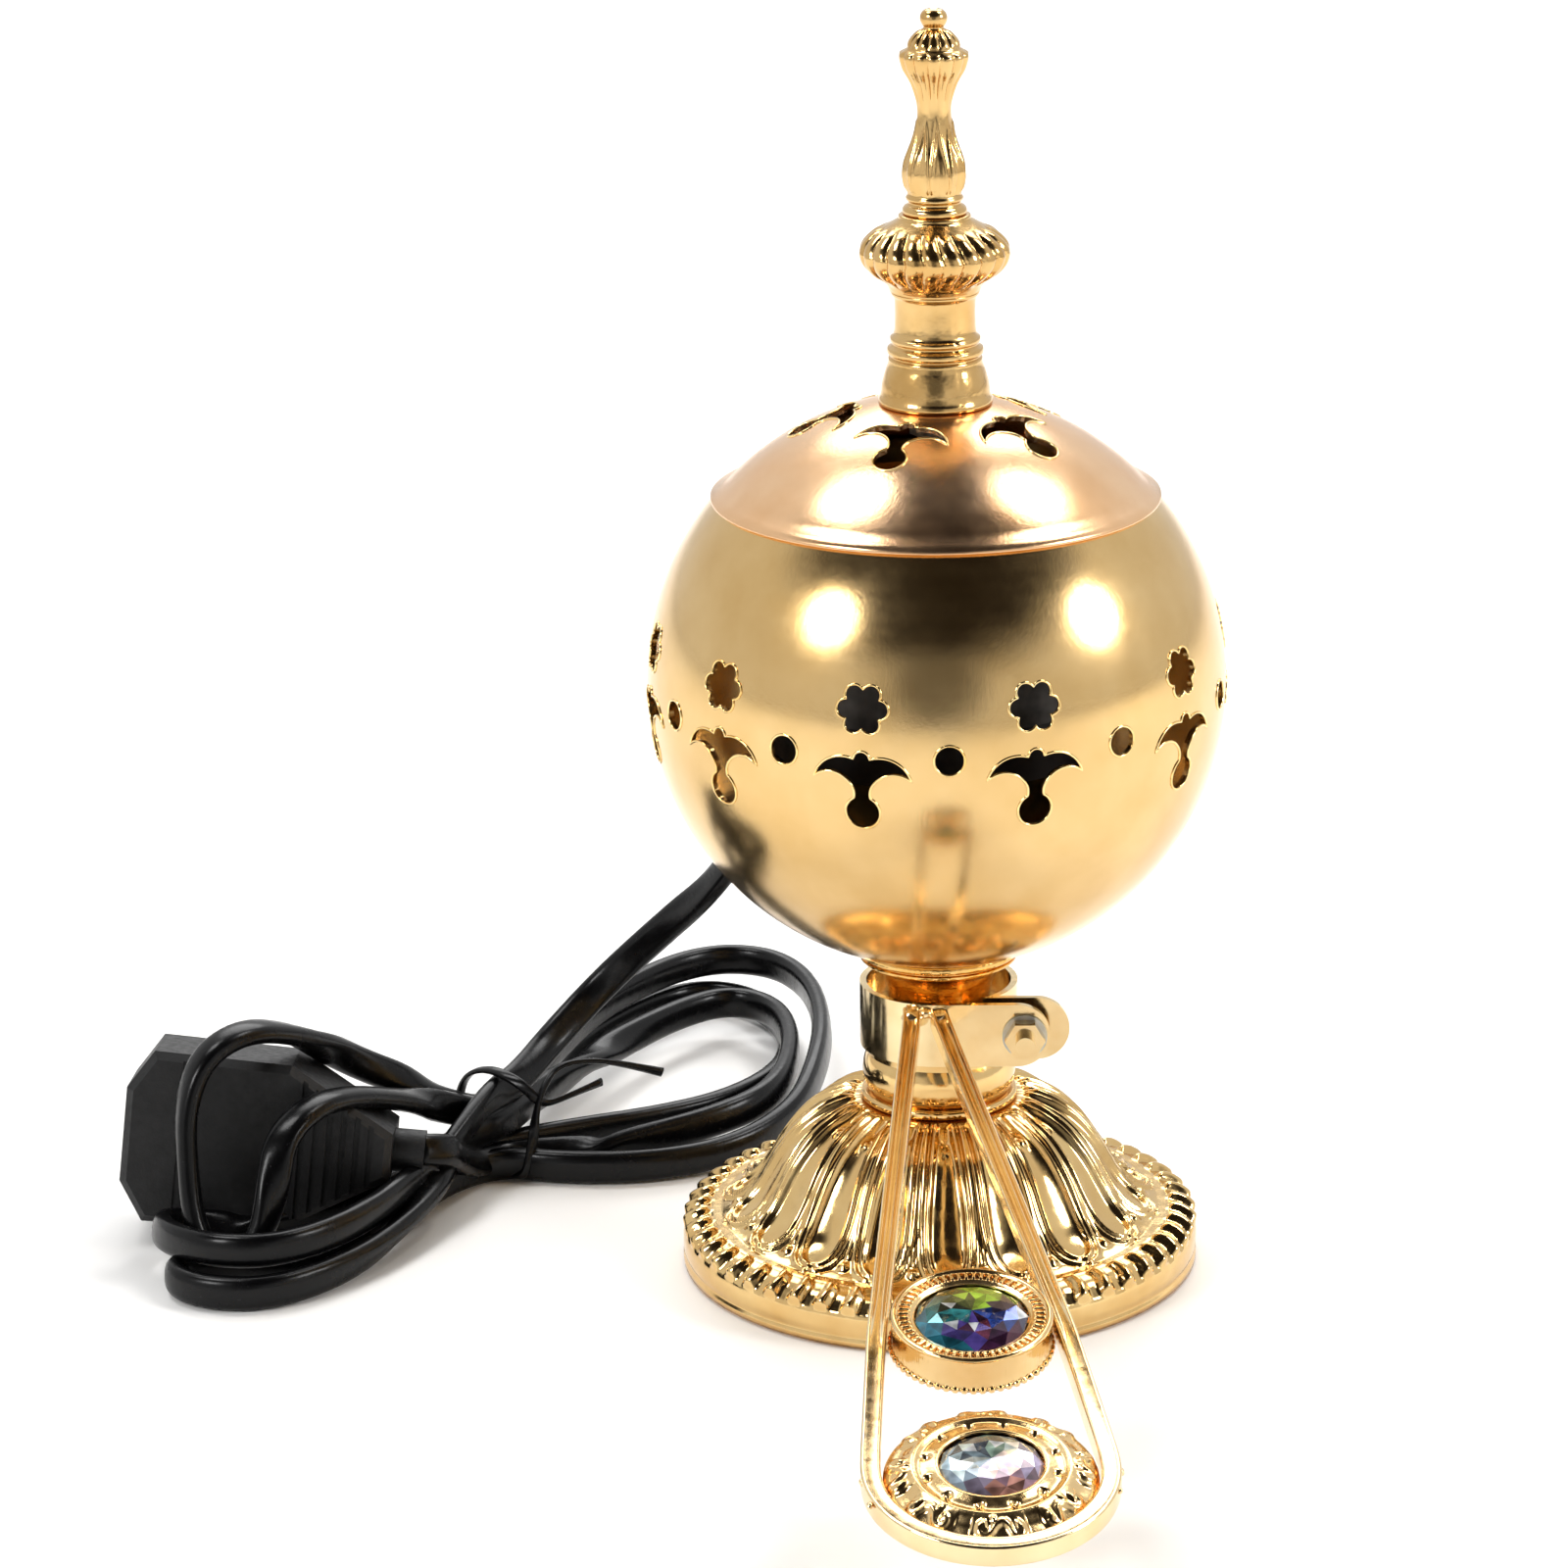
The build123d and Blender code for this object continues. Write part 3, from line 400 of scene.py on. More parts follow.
INNER_LOOP = [
    (-72.2, 35.4, 8.9), (-68.2, 47, 9.2), (-63, 60, 7.8), (-56, 76, 7.2), (-46.5, 91, 7.2),
    (-37.5, 98.5, 7.2), (-29.2, 93.5, 7.2), (-25.6, 79, 7.4), (-26, 60, 7.6), (-29.5, 48.5, 7.4),
    (-37, 41.5, 6.6), (-47, 38.0, 5.0), (-58.5, 36.2, 3.4), (-67, 36.0, 2.9)]
TAIL = [
    (-73.2, 34.8, 2.9), (-77, 28.5, 4.4), (-79, 22, 8.6), (-80, 16.5, 11.6), (-84.5, 14.1, 12.4)]
CORD_POINTS = LEAD + FRONT_LOOP + OUTER_LOOP + ARCH + LONG_LOOP + SIDE_LOOP + INNER_LOOP + TAIL


def nurbs_line(name, points, resolution=8):
    """The points in millimetres that a smooth curve follows, read from its own NURBS spline."""
    data = bpy.data.curves.new(name, "CURVE")
    data.dimensions = "3D"
    spline = data.splines.new("NURBS")
    spline.points.add(len(points) - 1)
    for target, point in zip(spline.points, points):
        target.co = (*(c * MM for c in point), 1.0)
    spline.order_u = 3
    spline.use_endpoint_u = True
    data.resolution_u = resolution
    route = linked(name, data)
    mesh = bpy.data.meshes.new_from_object(route)
    line = np.array([v.co for v in mesh.vertices]) / MM
    bpy.data.meshes.remove(mesh)
    bpy.data.objects.remove(route)
    bpy.data.curves.remove(data)
    return line


def even(line, step):
    """The same line with its points a step apart."""
    far = np.concatenate([[0], np.cumsum(np.linalg.norm(np.diff(line, axis=0), axis=1))])
    stops = np.linspace(0, far[-1], max(4, int(far[-1] / step) + 1))
    return np.stack([np.interp(stops, far, line[:, k]) for k in range(3)], axis=1)


def blurred(rows, reach):
    """Each row averaged with its neighbours, about reach rows each way."""
    kernel = np.exp(-(np.arange(-3 * reach, 3 * reach + 1) / reach) ** 2 / 2)
    kernel = kernel / kernel.sum()
    before = np.repeat(rows[:1], 3 * reach, axis=0)
    after = np.repeat(rows[-1:], 3 * reach, axis=0)
    padded = np.concatenate([before, rows, after])
    return np.stack([np.convolve(padded[:, k], kernel, "valid") for k in range(3)], axis=1)


def unit(rows):
    """The rows as directions of length one."""
    return rows / np.maximum(np.linalg.norm(rows, axis=1, keepdims=True), 1e-9)


def lie_flat(line, reach=7):
    """How a flat flex turns: it bends over its thin side, so its width follows the bend's axis."""
    forward = unit(np.gradient(line, axis=0))
    bend = np.cross(forward, np.gradient(blurred(forward, 4), axis=0))
    strength = np.linalg.norm(bend, axis=1, keepdims=True)
    bend = bend + np.array([0, 0, 0.012]) * (1 - np.clip(strength / STRAIGHT_BEND, 0, 1))
    width = unit(bend)
    for k in range(1, len(width)):
        if width[k] @ width[k - 1] < 0:
            width[k:] *= -1
    width = blurred(width * (0.25 + np.clip(strength / FULL_BEND, 0, 1)), reach)
    width = unit(width - forward * (width * forward).sum(axis=1, keepdims=True))
    return width, np.cross(forward, width)


def tube(name, rings, frame=None):
    """A closed tube through rings of points in millimetres, with a cap at each end."""
    count, sides = len(rings), len(rings[0])
    faces = [(i * sides + k, i * sides + (k + 1) % sides,
              (i + 1) * sides + (k + 1) % sides, (i + 1) * sides + k)
             for i in range(count - 1) for k in range(sides)]
    faces += [tuple(range(sides)), tuple(range((count - 1) * sides, count * sides))]
    mesh = bpy.data.meshes.new(name)
    mesh.from_pydata((rings.reshape(-1, 3) * MM).tolist(), [], faces)
    if frame is not None:
        mesh.transform(frame)
    piece = linked(name, mesh)
    pick(piece)
    bpy.ops.object.mode_set(mode="EDIT")
    bpy.ops.mesh.select_all(action="SELECT")
    bpy.ops.mesh.normals_make_consistent(inside=False)
    bpy.ops.object.mode_set(mode="OBJECT")
    bpy.ops.object.shade_smooth()
    return piece


def sleeve(name, line, wide, thick, sides=20, squareness=2.6):
    """A closed sleeve of a rounded flat section along a line."""
    width, up = lie_flat(line)
    angles = np.arange(sides) * 2 * math.pi / sides
    c, s = np.cos(angles), np.sin(angles)
    x = np.sign(c) * np.abs(c) ** (2 / squareness) * wide / 2
    y = np.sign(s) * np.abs(s) ** (2 / squareness) * thick / 2
    across = width[:, None, :] * x[None, :, None] + up[:, None, :] * y[None, :, None]
    return tube(name, line[:, None, :] + across)


cord_line = even(nurbs_line("cord_route", CORD_POINTS), CORD_STEP)
mains_cord = sleeve("mains_cord", cord_line, CORD_WIDTH, CORD_THICK)

# Soft PVC: near black, with a broad sheen, faint extrusion waviness, and a little dust.
black_pvc, tree, shader = finish_material("extruded_black_pvc", IOR=1.5, Specular_IOR_Level=0.22)
clouded(tree, shader, 0.7, "#060607", "#262628", start=0.70, end=0.76, detail=2.0)
roughened(tree, shader, 5.0, 0.2, 0.3)
rippled(tree, shader, 2.5, 0.05)
mains_cord.data.materials.append(black_pvc)
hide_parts("cord_lead", "cord_hank")
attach(mains_cord, "root")


# ------------------------------------------------------------------ mains plug
# A two-pin plug moulded on to the cord in black PVC: a tall flat body, a ribbed grip that tapers
# to the cord, and two nickel-plated brass pins. The moulding is satin, and duller than the cord.

moulded_pvc, tree, shader = finish_material("moulded_black_pvc", IOR=1.5, Specular_IOR_Level=0.35)
clouded(tree, shader, 4.0, "#0C0C0D", "#141415")
roughened(tree, shader, 1.2, 0.42, 0.6)
rippled(tree, shader, 0.45, 0.05, 4.0)
coat(("plug_body", "plug_relief"), moulded_pvc)

# Nickel plate on turned pins: bright, a slightly warm grey, and a little uneven.
nickel, tree, shader = finish_material("nickel_plated_brass", Metallic=1.0)
clouded(tree, shader, 1.5, "#C9C6BF", "#DAD8D2")
roughened(tree, shader, 0.8, 0.16, 0.3)
coat(("plug_pins",), nickel)


# ------------------------------------------------------------------ twist tie
# A short flat paper-thin PVC ribbon over a soft iron wire, wrapped once round the folded cord and
# twisted on top, with both its ends left standing.

TIE_WIDE = 1.8
TIE_THICK = 0.9
TIE_LINE = [
    (-46, 38, 16.5), (-51.7, 37, 18.3), (-58, 36, 19.6), (-63, 34.2, 19.4), (-65.2, 33.2, 16.5),
    (-66.6, 32.4, 12.5), (-67.4, 30.8, 6), (-68.4, 29.6, 1.6), (-70.5, 31.5, 0.7), (-74, 36, 0.7),
    (-78, 41.5, 0.7), (-80.6, 44.4, 1.4), (-80.8, 44.6, 5.5), (-80.2, 43.6, 11.8),
    (-78.2, 41.5, 15.6), (-74.6, 38.4, 17.2), (-71.1, 35.2, 16.9), (-68.2, 33.2, 15.6),
    (-66.4, 33.0, 13.4), (-64.5, 34, 12.6), (-59.9, 36, 13.9), (-56.1, 38, 14.9)]
tie_line = even(nurbs_line("tie_route", TIE_LINE), 0.7)
tie = sleeve("wire_tie", tie_line, TIE_WIDE, TIE_THICK, sides=12, squareness=3.0)
tie.data.materials.append(black_pvc)
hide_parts("twist_tie")
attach(tie, "root")


# ------------------------------------------------------------------ stem
# Three castings on one threaded rod: a ring, a plain collar that the clamp grips, and a cup like a
# candle holder with a stepped rim. All are polished and gold plated.

CUP = [
    (7.9, 41.5), (8.0, 44.0), (8.6, 46.5), (9.8, 48.6), (10.9, 49.5), (11.6, 49.9), (12.1, 50.2),
    (12.4, 50.5), (12.4, 50.8), (12.0, 51.0), (12.0, 51.15), (12.6, 51.3), (12.95, 51.6),
    (13.0, 52.0), (12.9, 52.45), (12.6, 52.65), (12.0, 52.5), (11.6, 52.0), (8.0, 51.4),
    (3.1, 50.9), (3.1, 41.5)]
CUP_STEPS = 160

cup_casting = spun("cup_casting", CUP, CUP_STEPS, closed=True)
bpy.ops.object.shade_smooth_by_angle(angle=math.radians(50))
cup_gold = gold_plate("rough_cast_gold_plated_zinc", "#F3CE8A", "#D9A24A", rough=0.13,
                      ripple_mm=0.22, ripple_size=1.6, hollow_shade=0.25)
cup_casting.data.materials.append(cup_gold)
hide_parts("stem_cup")
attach(cup_casting, "root")
coat(("foot_ring", "stem_collar"), polished_gold)

# Zinc-plated steel rod, nuts, washers and base plate: cold grey with faint blue and yellow.
zinc, tree, shader = finish_material("zinc_plated_steel", Metallic=1.0)
clouded(tree, shader, 3.0, "#A9ADB2", "#C4C0B2")
roughened(tree, shader, 1.0, 0.3, 0.48)
coat(("tie_rod", "rod_nuts", "rod_washers", "base_plate", "lid_nut", "lid_stud",
      "clamp_washer"), zinc)

# Foamed black rubber pads: matt, with open pores.
rubber, tree, shader = finish_material("foamed_black_rubber", IOR=1.5)
clouded(tree, shader, 1.0, "#121212", "#2A2A2A")
shader.inputs["Roughness"].default_value = 0.85
rippled(tree, shader, 0.5, 0.15)
coat(("base_pads", "cord_grommet"), rubber)


# ------------------------------------------------------------------ bowl and lid
# Spun and punched steel, gold plated to a soft satin. The spinning leaves faint rings, and the
# plating is a little mottled. Each punched hole has a thin raised lip where the punch drew its edge
# round, painted a paler gold as a highlight. The lid is redder than the ball.

LID_EDGE = 34.75            # radius and height of the turned-down edge, and the zone that it is in
LID_EDGE_HIGH = 0.55
LID_EDGE_ZONE = (0.2, 3.0)
LIP_WIDTH = 0.42
BALL_CENTRE = 95.88
BALL_RADIUS = 45.0
HOLE_EDGE_SLACK = 0.15      # how near the ball's skin a hole's edge lies, and its longest side
HOLE_EDGE_LONGEST = 8.0
HOLE_WALL_TILT = 0.35       # how far a hole's wall and the skin may lean, as cosines
SKIN_TILT = 0.8
SPIN_RINGS = 160.0
SPIN_RING_ROUGH = 0.008
SCRATCH_STRETCH = (1.0, 1.0, 0.08)


def satin_gold(name, light, deep, rough, scratches):
    """Satin gold over spun steel: soft reflections, turning rings, blotches and fine scratches."""
    material, tree, shader = finish_material(name, Metallic=1.0)
    where = add(tree, "TexCoord").outputs["Object"]
    clouded(tree, shader, 16.0, light, deep, detail=4.0)
    blotch = patches(tree, 7.0, rough * 0.85, rough * 1.2, detail=5.0, fine=0.65)
    rings = add(tree, "TexWave", {"Vector": where, "Scale": SPIN_RINGS,
                                            "Distortion": 1.5, "Detail": 2.0},
                bands_direction="Z").outputs["Fac"]
    ring_rough = add(tree, "Math", {0: rings, 1: SPIN_RING_ROUGH},
                     operation="MULTIPLY").outputs["Value"]
    total = add(tree, "Math", {0: blotch, 1: ring_rough},
                operation="ADD").outputs["Value"]
    tree.links.new(total, shader.inputs["Roughness"])
    # Brushing scratches run mostly up and down, and are drawn coarser than real so that they show.
    stretched = add(tree, "Mapping",
                    {"Vector": where, "Scale": SCRATCH_STRETCH}).outputs["Vector"]
    fine = add(tree, "TexNoise", {"Vector": stretched, "Scale": 1 / (0.5 * MM), "Detail": 3.0,
                                  "Roughness": 0.6}).outputs["Fac"]
    grain = add(tree, "TexNoise", {"Vector": where, "Scale": 1 / (0.9 * MM), "Detail": 5.0,
                                   "Roughness": 0.7}).outputs["Fac"]
    both = add(tree, "Math", {0: fine, 1: grain}, operation="ADD").outputs["Value"]
    bump = add(tree, "Bump", {"Height": both, "Distance": scratches * MM, "Strength": 1.0})
    tree.links.new(bump.outputs["Normal"], shader.inputs["Normal"])
    return material


bowl_gold = satin_gold("satin_gold_plated_steel", "#E1C088", "#D3AE71", 0.17, 0.010)
lid_gold = satin_gold("satin_rose_gold_plated_steel", "#F4CBA0", "#E9B885", 0.21, 0.014)
coat(("bowl_shell", "bowl_lip"), bowl_gold)

# The lid's edge is turned down until it lies almost in line with the ball.
lid_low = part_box("lid_shell")[0][2] / MM
cap_mesh = nodes["lid_shell"].data.copy()
merged = bmesh.new()
merged.from_mesh(cap_mesh)
bmesh.ops.remove_doubles(merged, verts=merged.verts, dist=1e-6)
for v in merged.verts:
    reach = math.hypot(v.co.x, v.co.y) / MM
    if reach > LID_EDGE and v.co.z / MM < lid_low + LID_EDGE_ZONE[1]:
        v.co.x *= LID_EDGE / reach
        v.co.y *= LID_EDGE / reach
        if v.co.z / MM > lid_low + LID_EDGE_ZONE[0]:
            v.co.z = (lid_low + LID_EDGE_HIGH) * MM
merged.to_mesh(cap_mesh)
merged.free()
cap = linked("lid_cap", cap_mesh)
cap.data.materials.clear()
cap.data.materials.append(lid_gold)
pick(cap)
bpy.ops.object.shade_smooth_by_angle(angle=math.radians(32))
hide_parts("lid_shell")
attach(cap, "lid")

# Painted highlight: the lips are a paler, near-white gold so that the hole edges look bright.
lip_highlight_gold = gold_plate("punch_edge_painted_highlight", "#FFE6A8", "#EFC273", rough=0.12,
                      ripple_mm=0.02, ripple_size=2.0)


def punched_lips(name, node_name, body):
    """A round bead along the outer edge of each hole, taken from the shell's own edges."""
    copy = nodes[node_name].data.copy()
    mesh = bmesh.new()
    mesh.from_mesh(copy)
    bmesh.ops.remove_doubles(mesh, verts=mesh.verts, dist=1e-6)
    centre = Vector((0, 0, BALL_CENTRE * MM))
    keep = []
    for edge in mesh.edges:
        if len(edge.link_faces) != 2:
            continue
        middle = (edge.verts[0].co + edge.verts[1].co) / 2 - centre
        if (abs(middle.length / MM - BALL_RADIUS) > HOLE_EDGE_SLACK
                or edge.calc_length() > HOLE_EDGE_LONGEST * MM):
            continue
        ways = sorted(abs(f.normal.dot(middle.normalized())) for f in edge.link_faces)
        if ways[0] < HOLE_WALL_TILT and ways[1] > SKIN_TILT:
            keep.append(edge)
    line = bmesh.new()
    made = {}
    for edge in keep:
        ends = []
        for v in edge.verts:
            if v not in made:
                made[v] = line.verts.new(v.co)
            ends.append(made[v])
        line.edges.new(ends)
    bpy.data.meshes.remove(copy)
    mesh.free()
    data = bpy.data.meshes.new(name)
    line.to_mesh(data)
    line.free()
    piece = linked(name, data)
    pick(piece)
    bpy.ops.object.convert(target="CURVE")
    piece.data.bevel_depth = LIP_WIDTH / 2 * MM
    piece.data.bevel_resolution = 2
    bpy.ops.object.convert(target="MESH")
    bpy.ops.object.shade_smooth()
    piece.data.materials.clear()
    piece.data.materials.append(lip_highlight_gold)
    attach(piece, body)


punched_lips("bowl_hole_lips", "bowl_shell", "root")
punched_lips("lid_hole_lips", "lid_shell", "lid")


# ------------------------------------------------------------------ heater and incense dish
# A dark phenolic housing on a ceramic spacer, with a plain aluminium hot plate, and the loose
# stainless dish on it that holds the charcoal or wood chips. The plate and the dish are painted
# dark as shade, so that the ball's holes look dark.

def dull(name, first, second, rough, metallic=0.0, grain_mm=1.5, depth=0.03):
    """A plain technical surface: two close tones, a grain, and its roughness."""
    material, tree, shader = finish_material(name, Metallic=metallic)
    clouded(tree, shader, grain_mm * 4, first, second)
    roughened(tree, shader, grain_mm, rough * 0.85, rough * 1.15)
    rippled(tree, shader, grain_mm, depth)
    return material


phenolic = dull("moulded_phenolic", "#1B1512", "#2A211C", 0.5)
ceramic = dull("unglazed_steatite_ceramic", "#E6DFD0", "#F1ECE0", 0.7)
# Painted shade: the hot plate and the dish are coloured dark grey-brown to stand for the shade
# inside the ball.
aluminium = dull("aluminium_darkened_as_shade", "#4A4745", "#66625E", 0.45, 1.0, 0.8, 0.01)
steel = dull("stainless_steel_darkened_as_shade", "#5E5448", "#7A6E5E", 0.38, 1.0, 1.2, 0.01)
wire_coating = dull("silicone_wire_sleeve", "#B9A98F", "#CFC2AB", 0.6)
coat(("heater_housing",), phenolic)
coat(("heater_spacer", "insulator", "thermal_fuse", "terminal_block"), ceramic)
coat(("heating_element", "incense_dish"), steel)
coat(("heating_plate",), aluminium)
coat(("inner_leads",), wire_coating)


# ------------------------------------------------------------------ finial: bell, saucer and knob
# Hollow zinc castings that a stud through the lid holds together, chased with flutes and leaves,
# polished and gold plated. The mould's parting line still shows round the saucer and up the bell.

BELL = [
    (3.0, 140.9), (8.5, 140.1), (8.8, 140.25), (8.8, 140.9), (8.45, 141.6), (8.25, 143.4),
    (7.75, 145.2), (7.25, 146.6), (7.25, 147.3), (6.95, 147.5), (6.95, 147.75), (7.35, 148.0),
    (7.45, 148.4), (7.35, 148.9), (6.85, 149.2), (6.6, 149.45), (6.6, 149.7), (6.95, 149.95),
    (6.95, 150.5), (6.6, 150.8), (6.35, 151.2), (6.25, 152.2), (6.2, 154.5), (6.25, 156.2),
    (6.4, 156.9), (6.75, 157.25), (6.8, 157.71), (3.0, 157.71)]
SAUCER = [
    (2.9, 157.72), (6.6, 157.72), (7.0, 158.0), (7.5, 158.9), (8.5, 159.9), (9.8, 160.9),
    (10.7, 161.9), (11.15, 162.8), (11.3, 163.7), (11.1, 164.7), (10.4, 165.7), (9.0, 166.9),
    (7.5, 167.8), (6.3, 168.5), (5.6, 169.0), (5.3, 169.6), (2.9, 169.6)]
KNOB = [
    (2.6, 169.62), (4.5, 169.62), (4.9, 169.8), (4.95, 170.4), (4.6, 170.9), (4.1, 171.2),
    (4.05, 171.6), (4.35, 171.9), (4.4, 172.3), (4.15, 172.7), (4.2, 173.4), (4.55, 174.6),
    (4.7, 176.0), (4.5, 177.4), (4.0, 178.9), (3.4, 180.4), (2.95, 182.0), (2.7, 183.6),
    (2.6, 185.4), (2.7, 186.9), (3.0, 188.5), (3.5, 189.9), (4.1, 191.0), (4.65, 191.9),
    (4.95, 192.8), (5.15, 193.6), (5.1, 194.3), (4.6, 194.8), (4.1, 195.1), (4.0, 195.5),
    (3.7, 196.2), (3.15, 196.9), (2.5, 197.5), (1.9, 197.9), (1.55, 198.2), (1.75, 198.6),
    (2.05, 199.2), (2.1, 199.8), (1.9, 200.4), (1.45, 200.85), (0.9, 201.05), (0.5, 200.95),
    (0.0, 200.8)]
SAUCER_FLUTES = 22
SAUCER_MIDDLE = 163.7       # height of the saucer's widest ring
KNOB_LEAVES = 9
KNOB_FLUTES = 14
BELL_SEAM = 62              # degrees from the front to the mould's parting line


def densified(outline, per):
    """The outline with each run divided into per equal pieces."""
    line = []
    for (r, z), (r2, z2) in zip(outline, outline[1:]):
        line += [(r + (r2 - r) * k / per, z + (z2 - z) * k / per) for k in range(per)]
    return line + [outline[-1]]


def polar(piece):
    """Every point's radius, turn in degrees and height, and the outward directions."""
    where, out = points_of(piece)
    radius = np.hypot(where[:, 0], where[:, 1])
    return radius, np.degrees(np.arctan2(where[:, 1], where[:, 0])), where[:, 2], out


def flute_roll(phase, half_width):
    """One rounded roll of a row of flutes, at phases of -0.5 to 0.5."""
    return np.clip(1 - (phase / half_width) ** 2, 0, 1) ** 0.6


bell = spun("finial_bell", densified(BELL, 2), 128, closed=True)
radius, turn, height, out = polar(bell)
from_seam = (turn + BELL_SEAM) * math.pi / 180 * radius
seam = ridge(from_seam + 0.15 * np.sin(height * 3), 0.22) * (radius > 6)
push(bell, 0.10 * seam * np.sin(height * 5) - 0.06 * seam)

saucer = spun("finial_fluted_saucer", rounded(SAUCER, 4), 264, closed=True)
radius, turn, height, out = polar(saucer)
lean = np.where(height > SAUCER_MIDDLE, 9.0, -7.0) * (height - SAUCER_MIDDLE) / 5.0
phase = (turn + lean * 0.9) % (360 / SAUCER_FLUTES) / (360 / SAUCER_FLUTES) - 0.5
rolls = flute_roll(phase, 0.46)
band = smooth(7.4, 9.4, radius)
seam = ridge(height - SAUCER_MIDDLE, 0.14) * (radius > 10.6)
push(saucer, 0.62 * (rolls - 0.55) * band + 0.07 * seam)

knob = spun("finial_chased_knob", rounded(KNOB, 2), 180)
radius, turn, height, out = polar(knob)
# Leaves with a midrib stand round the vase, and get pointed as they go up.
leaf = (turn + 20) % (360 / KNOB_LEAVES) / (360 / KNOB_LEAVES) - 0.5
reach = np.clip((height - 173.2) / 11.0, 0, 1)
edge = 0.40 * (1 - reach**2.4)
lower = smooth(173.0, 173.8, height) * (1 - smooth(183.6, 184.6, height))
midrib = 0.6 * ridge(leaf * radius * 0.7, 0.30) * (1 - reach)
leaves = ridge((np.abs(leaf) - edge) * radius * 0.70, 0.20) - midrib
# Flutes run up the cup above it, and again up the cap.
flute = (turn % (360 / KNOB_FLUTES)) / (360 / KNOB_FLUTES) - 0.5
upper = smooth(186.0, 189.0, height) * (1 - smooth(194.2, 194.8, height))
cap = smooth(195.2, 195.8, height) * (1 - smooth(197.4, 198.0, height))
fluting = flute_roll(flute, 0.45) - 0.5
push(knob, 0.30 * leaves * lower + 0.42 * fluting * upper + 0.26 * fluting * cap)
finial_gold = gold_plate("cast_gold_plated_zinc", "#DFBC81", "#CEA464", rough=0.14,
                         ripple_mm=0.09, ripple_size=2.2, hollow_shade=0.5)
for piece, node_name in ((bell, "lid_bell"), (saucer, "finial_saucer"), (knob, "finial_knob")):
    piece.data.materials.append(finial_gold)
    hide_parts(node_name)
    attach(piece, "lid")


# ------------------------------------------------------------------ handle clamp
# A bent steel strip round the collar, closed at the side by a bolt and nut, pale gold plated.

clamp_gold = gold_plate("pale_gold_plated_steel", "#F1DCAE", "#E3C48E", rough=0.12,
                        ripple_mm=0.04, ripple_size=4.0)
coat(("clamp_band", "clamp_bolt", "clamp_nut"), clamp_gold)


# ------------------------------------------------------------------ handle wire
# One drawn steel strip bent into a long loop, its ends welded to the clamp, gold plated. A channel
# runs down the upper face of both legs and dies out at the medallions, where the strip is plain.

HANDLE_SLOPE = math.radians(11.5)
HANDLE_YAW = math.radians(4.4)
HANDLE_ORIGIN = (-2.1, -12.5, 44.2)
STRIP_WIDE = 2.8
STRIP_HIGH = 3.2
STRIP_CORNER = 0.4
LEG_TOP = (2.0, -3.2)       # in the handle's own plane: across, and out along it
LEG_MIDDLE = (13.52, 86.0)
LOOP_CENTRE = 118.6
LOOP_RADIUS = 16.42
LOOP_SPREAD = 0.15          # what the smoothing takes off the loop again
PLAN_STEP = 0.6
PLAN_BLUR = 4
CHANNEL_DEEP = 0.75
CHANNEL_HALF = 0.88
CHANNEL_END = (74.0, 92.0)

cos_slope, sin_slope = math.cos(HANDLE_SLOPE), math.sin(HANDLE_SLOPE)
across = Vector((-math.cos(HANDLE_YAW), -math.sin(HANDLE_YAW), 0))
outward = Vector((math.sin(HANDLE_YAW) * cos_slope, -math.cos(HANDLE_YAW) * cos_slope, -sin_slope))
handle_frame = Matrix((across, outward, across.cross(outward))).transposed().to_4x4()
handle_frame = Matrix.Translation([c * MM for c in HANDLE_ORIGIN]) @ handle_frame

leg = [LEG_TOP, (LEG_TOP[0] + 0.1, 0.5), LEG_MIDDLE, (LOOP_RADIUS + 0.05, LOOP_CENTRE - 2)]
half_turn = [((LOOP_RADIUS + LOOP_SPREAD) * math.cos(a),
              LOOP_CENTRE + (LOOP_RADIUS + LOOP_SPREAD) * math.sin(a))
             for a in np.linspace(0, math.pi, 60)]
plan = np.array(leg + half_turn + [(-x, y) for x, y in reversed(leg)])
plan = even(np.column_stack([plan, np.zeros(len(plan))]), PLAN_STEP)
plan = blurred(plan, PLAN_BLUR)[3:-3]
forward = unit(np.gradient(plan, axis=0))
sideways = np.cross(forward, np.array([0, 0, 1.0]))
# The section has rounded corners, and enough points across its upper face for the channel.
half_wide, half_high = STRIP_WIDE / 2, STRIP_HIGH / 2
corner = [(half_wide - STRIP_CORNER + STRIP_CORNER * math.cos(a),
           half_high - STRIP_CORNER + STRIP_CORNER * math.sin(a))
          for a in np.linspace(0, math.pi / 2 * 0.94, 6)]
face = [(x, half_high) for x in (0.92, 0.84, 0.70, 0.45, 0.0, -0.45, -0.70, -0.84, -0.92)]
upper_half = corner + face + [(-x, y) for x, y in reversed(corner)]
lower_half = [(-x, -y) for x, y in corner] + [(x, -y) for x, y in reversed(corner)]
section = np.array(upper_half + lower_half)
rings = np.zeros((len(plan), len(section), 3))
for i, (point, side) in enumerate(zip(plan, sideways)):
    deep = CHANNEL_DEEP * (1 - smooth(*CHANNEL_END, point[1])) + 0.05
    x, y = section[:, 0], section[:, 1]
    dip = np.where(y > 0.4, deep * np.clip(1 - (np.abs(x) / CHANNEL_HALF) ** 3, 0, 1), 0)
    rings[i] = point + side * x[:, None] + np.array([0, 0, 1.0]) * (y - dip)[:, None]
strip = tube("handle_strip", rings, handle_frame)
# The channel gets painted shade in deep orange from the gold's recess mix.
wire_gold = gold_plate("drawn_gold_plated_strip", "#F6E0B4", "#ECD09E", rough=0.15,
                       ripple_mm=0.03, ripple_size=3.0, hollow_shade=0.55, reach_mm=0.9)
strip.data.materials.append(wire_gold)
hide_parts("handle_wire")
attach(strip, "handle")


# ------------------------------------------------------------------ welds of the handle
# Small beads of weld where the legs meet the clamp, and four dots left by the welding jig on the
# outside of the loop. They are plated over, and lumpy. Each has its place and its three radii.

